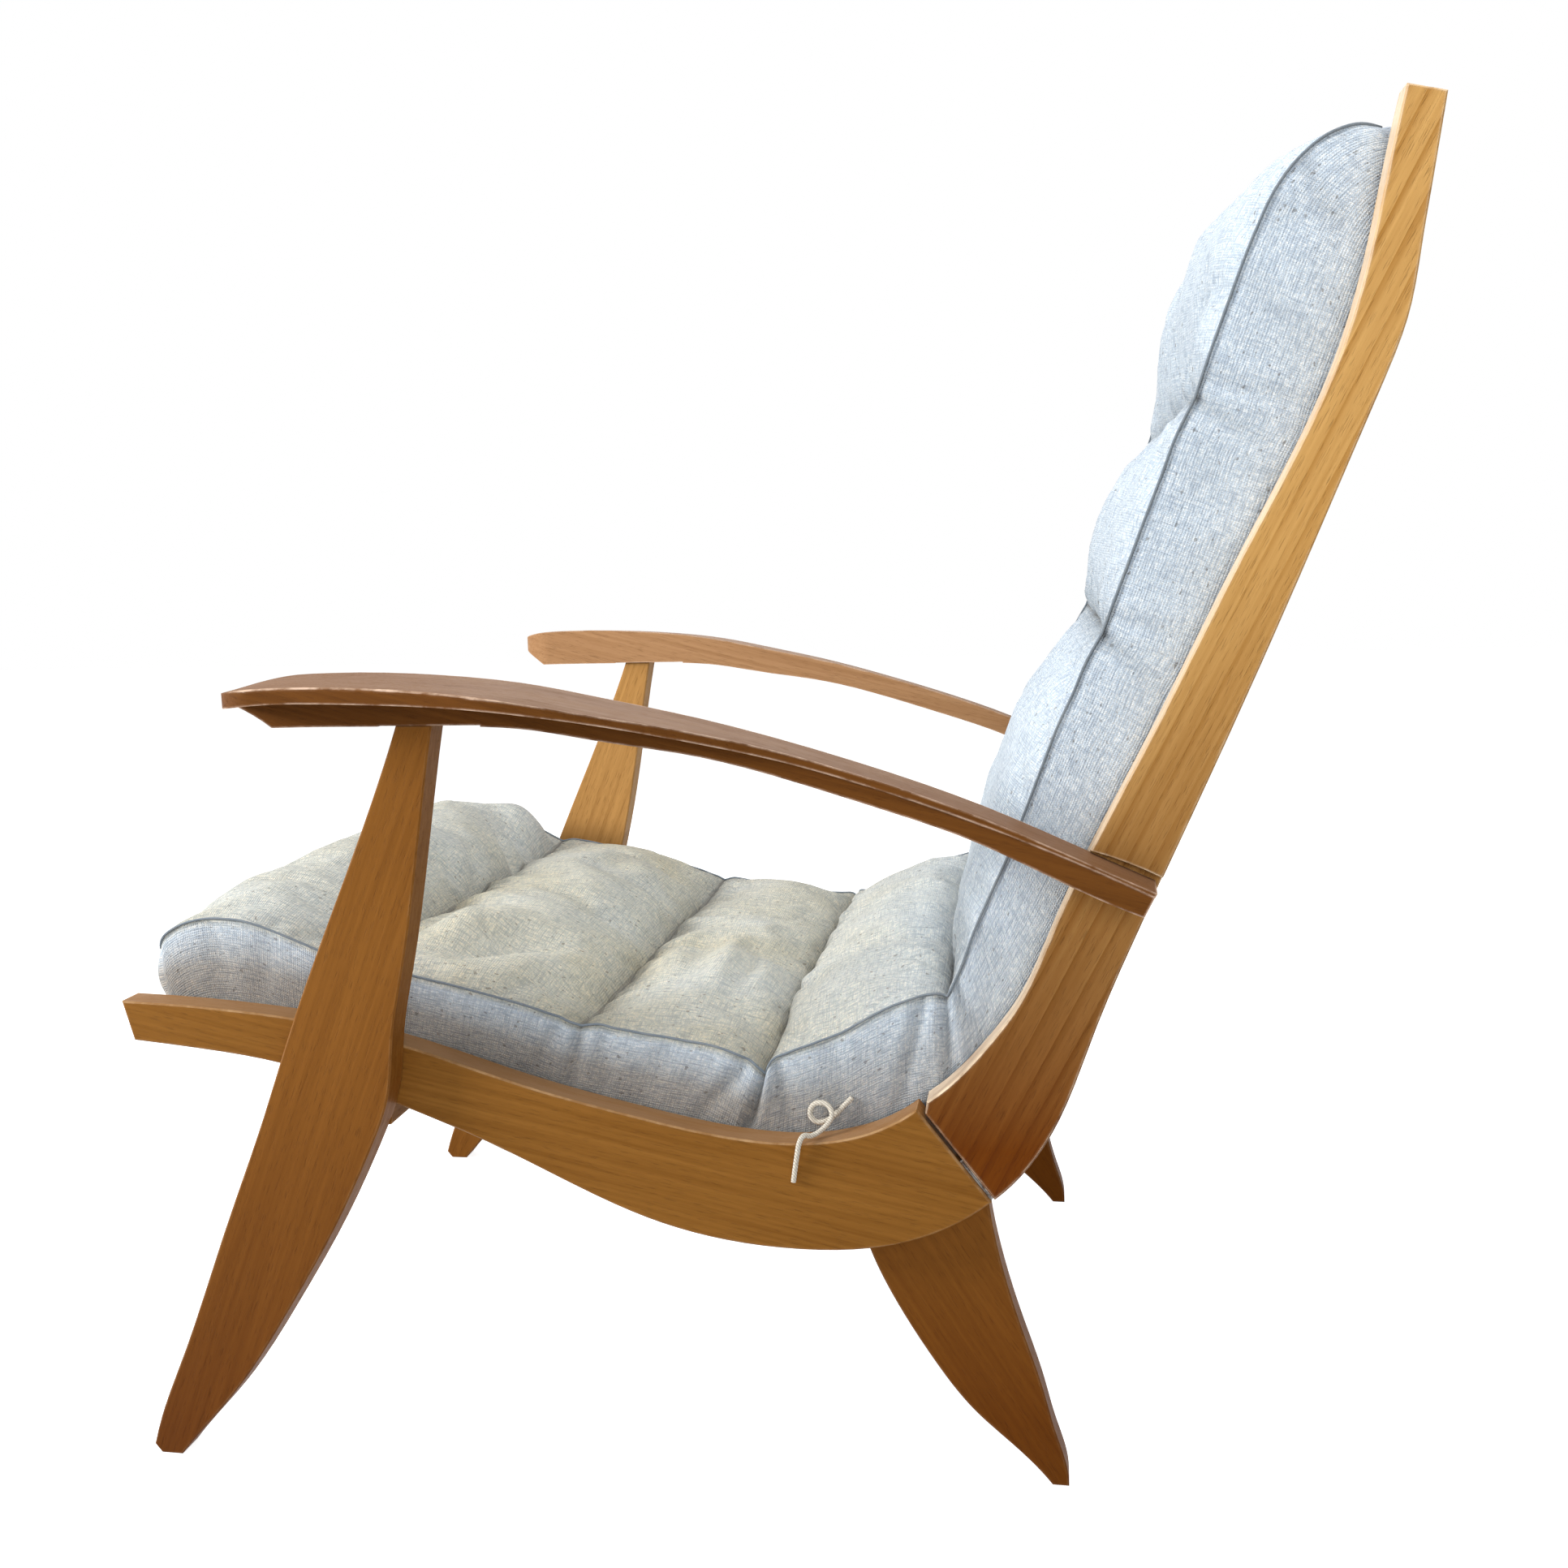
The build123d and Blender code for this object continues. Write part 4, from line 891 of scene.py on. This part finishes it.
# Masks for the cloth: dark seam lines and shaded valleys, both painted shade, the parts sat on, and the side
# bands
masks = {name: np.zeros(len(skin_points), np.float32)
         for name in ("seam_mask", "valley_mask", "sat_mask", "band_soil_and_shade_mask")}
channel_yellow = (0.85, 1.0, 0.95, 0.8, 0.6, 0.5, 0.5)
seam_half_width = 2.2
valley_half_width = 19.0
seat_fade_length = 40.0
rear_band_fade = 0.25
band_darkening_rate = 2.0
deep_band_fold = 5.0
for (row, column, level), index in skin_index.items():
    nearest = min(abs(path[row] - seam) for seam in seam_path[1:])
    seat_share = 1.0 / (1.0 + math.exp((path[row] - seam_path[4]) / seat_fade_length))
    if level == rows and 0 < row < last_row:
        masks["seam_mask"][index] = math.exp(-(nearest / seam_half_width) ** 2)
        masks["valley_mask"][index] = math.exp(-(nearest / valley_half_width) ** 2)
        masks["sat_mask"][index] = seat_share * channel_yellow[channel_number[row]]
    if level < rows:
        rearward = min(1.0, max(0.0, (path[row] - seam_path[3]) / (seam_path[4] - seam_path[3])))
        low_share = min(1.0, band_darkening_rate * (1 - level / rows))
        # The seat's side bands darken low down: painted shade from the arm and leg, with some soiling, less
        # towards the back.
        masks["band_soil_and_shade_mask"][index] = seat_share * low_share * (1 - rear_band_fade * rearward)
        masks["valley_mask"][index] = min(1.0, max(0.0, band_in[row, level]) / deep_band_fold)
for mask_name, values in masks.items():
    attribute = mattress_mesh.attributes.new(mask_name, "FLOAT", "POINT")
    attribute.data.foreach_set("value", values)
for polygon in mattress_mesh.polygons:
    polygon.use_smooth = True
mattress_mesh.validate()
mattress_mesh.update()
mattress = placed("mattress", mattress_mesh)

# The upper panel was cut wider than the pad, so between its seams it settles as cloth over the stuffing. Its
# edges, seams and bands are held, and no point moves more than the cap.
panel_fullness = 1.10
panel_growth = 0.03
settle_frames = 12
settle_cap = 14.0
mattress.shape_key_add(name="sewn")
cut_shape = mattress.shape_key_add(name="cut")
held = mattress.vertex_groups.new(name="held")
free_points = []
for (row, column, level), index in skin_index.items():
    point = mattress_mesh.vertices[index].co
    cut_shape.data[index].co = (point.x, point.y * panel_fullness, point.z)
    on_seam = row % steps_in_channel == 0 or row == last_row
    if level == rows and 0 < column < columns and not on_seam:
        free_points.append(index)
    else:
        held.add([index], 1.0, "REPLACE")
cut_shape.value = 0.0
settle = mattress.modifiers.new("settle", "CLOTH")
rules = settle.settings
rules.quality = 5
rules.mass = 0.25
rules.air_damping = 2.0
rules.tension_stiffness = 20.0
rules.compression_stiffness = 20.0
rules.shear_stiffness = 6.0
rules.bending_stiffness = 0.25
rules.bending_damping = 1.0
rules.vertex_group_mass = "held"
rules.pin_stiffness = 1.0
rules.rest_shape_key = cut_shape
rules.shrink_min = -panel_growth
rules.use_pressure = True
rules.uniform_pressure_force = 3.0
rules.effector_weights.gravity = 0.0
settle.collision_settings.use_collision = False
settle.collision_settings.use_self_collision = False
settle.point_cache.frame_start = 1
settle.point_cache.frame_end = settle_frames
for frame_number in range(1, settle_frames + 1):
    bpy.context.scene.frame_set(frame_number)
settled = mattress.evaluated_get(bpy.context.evaluated_depsgraph_get()).data
moves = {index: settled.vertices[index].co - Vector(skin_points[index]) for index in free_points}
mattress.modifiers.remove(settle)
mattress.shape_key_clear()
mattress.vertex_groups.clear()
for index, move in moves.items():
    kept_share = min(1.0, settle_cap * mm / max(move.length, 1e-9))
    mattress_mesh.vertices[index].co = Vector(skin_points[index]) + move * kept_share
mattress_mesh.update()
bpy.context.scene.frame_set(1)

# The mattress cloth: a plain weave of marled yarns, oatmeal and pale blue-grey with darker flecks. It has
# yellowed where people sit, and its seams are darkened as painted shade in their creases.
weave_group, group_in, group_out = new_group(
    "marled_weave",
    [("Vector", "NodeSocketVector", None), ("Ground", "NodeSocketColor", (0.6, 0.6, 0.6, 1)),
     ("Light yarn", "NodeSocketColor", (0.8, 0.8, 0.8, 1)),
     ("Dark yarn", "NodeSocketColor", (0.3, 0.3, 0.3, 1)), ("Fleck", "NodeSocketColor", (0.1, 0.1, 0.1, 1))],
    [("Color", "NodeSocketColor"), ("Roughness", "NodeSocketFloat"), ("Height", "NodeSocketFloat")])
cloth_place = group_in.outputs["Vector"]
warp = banded(weave_group, cloth_place, "X", 175.0, 1.4, 1.0)
weft = banded(weave_group, cloth_place, "Y", 160.0, 1.6, 1.0)
threads = calculate(weave_group, "MULTIPLY", warp, weft)
slubs = mottled(weave_group, stretched(weave_group, cloth_place, (70.0, 560.0, 1.0)), 1.0, 2.0, 0.6)
marl = mottled(weave_group, stretched(weave_group, cloth_place, (380.0, 380.0, 1.0)), 1.0, 2.0, 0.7)
long_yarn = mottled(weave_group, stretched(weave_group, cloth_place, (560.0, 55.0, 1.0)), 1.0, 2.0, 0.6)
flecks = mottled(weave_group, stretched(weave_group, cloth_place, (190.0, 260.0, 1.0)), 1.0, 1.0, 0.4)
colour = blended(weave_group, spread(weave_group, marl, 0.44, 0.60), group_in.outputs["Ground"],
                 group_in.outputs["Light yarn"])
for pattern, low, high, at_low, at_high, yarn in (
        (slubs, 0.47, 0.64, 0.0, 0.8, "Dark yarn"), (long_yarn, 0.48, 0.66, 0.0, 0.65, "Dark yarn"),
        (flecks, 0.68, 0.74, 0.0, 0.7, "Fleck"), (threads, 0.0, 0.35, 0.30, 0.0, "Dark yarn")):
    shown = spread(weave_group, pattern, low, high, at_low, at_high)
    colour = blended(weave_group, shown, colour, group_in.outputs[yarn])
weave_group.links.new(colour, group_out.inputs["Color"])
weave_group.links.new(spread(weave_group, marl, 0.2, 0.8, 0.82, 0.97), group_out.inputs["Roughness"])
height = calculate(weave_group, "ADD", threads, calculate(weave_group, "MULTIPLY", slubs, 0.8))
weave_group.links.new(height, group_out.inputs["Height"])

cloth, tree, shader = new_material("marled_cloth")
cloth_at = tree.nodes.new("ShaderNodeUVMap")
cloth_at.uv_map = "cloth"
yarns = {"Ground": (0.64, 0.74, 0.84, 1), "Light yarn": (0.90, 0.95, 0.98, 1),
         "Dark yarn": (0.42, 0.50, 0.60, 1), "Fleck": (0.20, 0.19, 0.18, 1)}
weave = placed_group(tree, weave_group, yarns, {"Vector": cloth_at.outputs["UV"]})


def mattress_mask(mask_name):
    """A mask that is stored on the mattress's skin."""
    node = tree.nodes.new("ShaderNodeAttribute")
    node.attribute_name = mask_name
    return node.outputs["Fac"]


sat_tint = (0.90, 0.74, 0.50, 1)
band_soil_and_shade_tint = (0.58, 0.49, 0.41, 1)
valley_tint = (0.52, 0.50, 0.47, 1)
seam_crease_shade = (0.11, 0.10, 0.09, 1)
patch = mottled(tree, stretched(tree, cloth_at.outputs["UV"], (7.0, 7.0, 1.0)), 1.0, 3.0, 0.55)
patchy = spread(tree, patch, 0.30, 0.70, 0.62, 1.0)
yellowed = calculate(tree, "MULTIPLY", mattress_mask("sat_mask"), patchy)
colour = blended(tree, yellowed, weave.outputs["Color"], sat_tint, "MULTIPLY")
# Painted shade and soiling on the seat's side bands.
colour = blended(tree, mattress_mask("band_soil_and_shade_mask"), colour, band_soil_and_shade_tint, "MULTIPLY")
valley = calculate(tree, "MULTIPLY", mattress_mask("valley_mask"), 0.55)
colour = blended(tree, valley, colour, valley_tint, "MULTIPLY")
# Painted shade in the seam creases.
seam_shade = calculate(tree, "MULTIPLY", mattress_mask("seam_mask"), 0.75)
colour = blended(tree, seam_shade, colour, seam_crease_shade)
finish(tree, shader, colour, weave.outputs["Roughness"], bumped(tree, weave.outputs["Height"], 0.0007, 0.8))
shader.inputs["Sheen Weight"].default_value = 0.12
shader.inputs["Specular IOR Level"].default_value = 0.2
mattress_mesh.materials.append(cloth)
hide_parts("cushion_seat", "cushion_back")
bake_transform(mattress)

# The piping: a thin dark blue-grey welt sewn into the seams between the mattress's panels and its side
# bands, one loop around the upper panel and one around the underside.
piping_radius = 0.95
piping_side_lift = 0.6


def piping_ring(level, lift):
    """The loop of the panel seam at the top or the underside, a little proud of the skin."""
    keys = [(row, 0, level) for row in range(last_row)]
    keys += [(last_row, column, level) for column in range(columns)]
    keys += [(row, columns, level) for row in range(last_row, 0, -1)]
    keys += [(0, column, level) for column in range(columns, 0, -1)]
    points = []
    for row, column, at_level in keys:
        point = mattress_point(row, column, at_level)
        up = Vector((outward[row][0], 0.0, outward[row][1])) * lift * mm
        side = Vector((0.0, (column == columns) - (column == 0), 0.0)) * piping_side_lift * mm
        points.append(point + up + side)
    return points


def tube_mesh(name, points, radius):
    """A closed round tube along a loop of points."""
    data = bpy.data.curves.new(name, "CURVE")
    data.dimensions = "3D"
    data.bevel_depth = radius * mm
    data.bevel_resolution = 3
    line = data.splines.new("POLY")
    line.points.add(len(points) - 1)
    for target, point in zip(line.points, points):
        target.co = (*point, 1.0)
    line.use_cyclic_u = True
    holder = bpy.data.objects.new(name, data)
    mesh = bpy.data.meshes.new_from_object(holder)
    mesh.name = name
    bpy.data.objects.remove(holder)
    for polygon in mesh.polygons:
        polygon.use_smooth = True
    return mesh


piping_dark = (0.11, 0.14, 0.17, 1)
piping_pale = (0.27, 0.31, 0.35, 1)
piping_faded = (0.30, 0.32, 0.33, 1)
piping_cloth, tree, shader = new_material("piping_cloth")
where = object_place(tree)
twist = mottled(tree, where, 1100.0, 2.0)
fade = mottled(tree, where, 60.0, 2.0)
colour = blended(tree, twist, piping_dark, piping_pale)
colour = blended(tree, spread(tree, fade, 0.45, 0.75, 0.0, 0.5), colour, piping_faded)
finish(tree, shader, colour, spread(tree, twist, 0.0, 1.0, 0.75, 0.95), bumped(tree, twist, 0.0003))
for piping_name, level, lift in (("piping_upper", rows, 0.5), ("piping_lower", 0, -0.2)):
    piping_mesh = tube_mesh(piping_name, piping_ring(level, lift), piping_radius)
    piping_mesh.materials.append(piping_cloth)
    piping = placed(piping_name, piping_mesh)
    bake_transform(piping)

bpy.context.scene.view_settings.view_transform = "Standard"
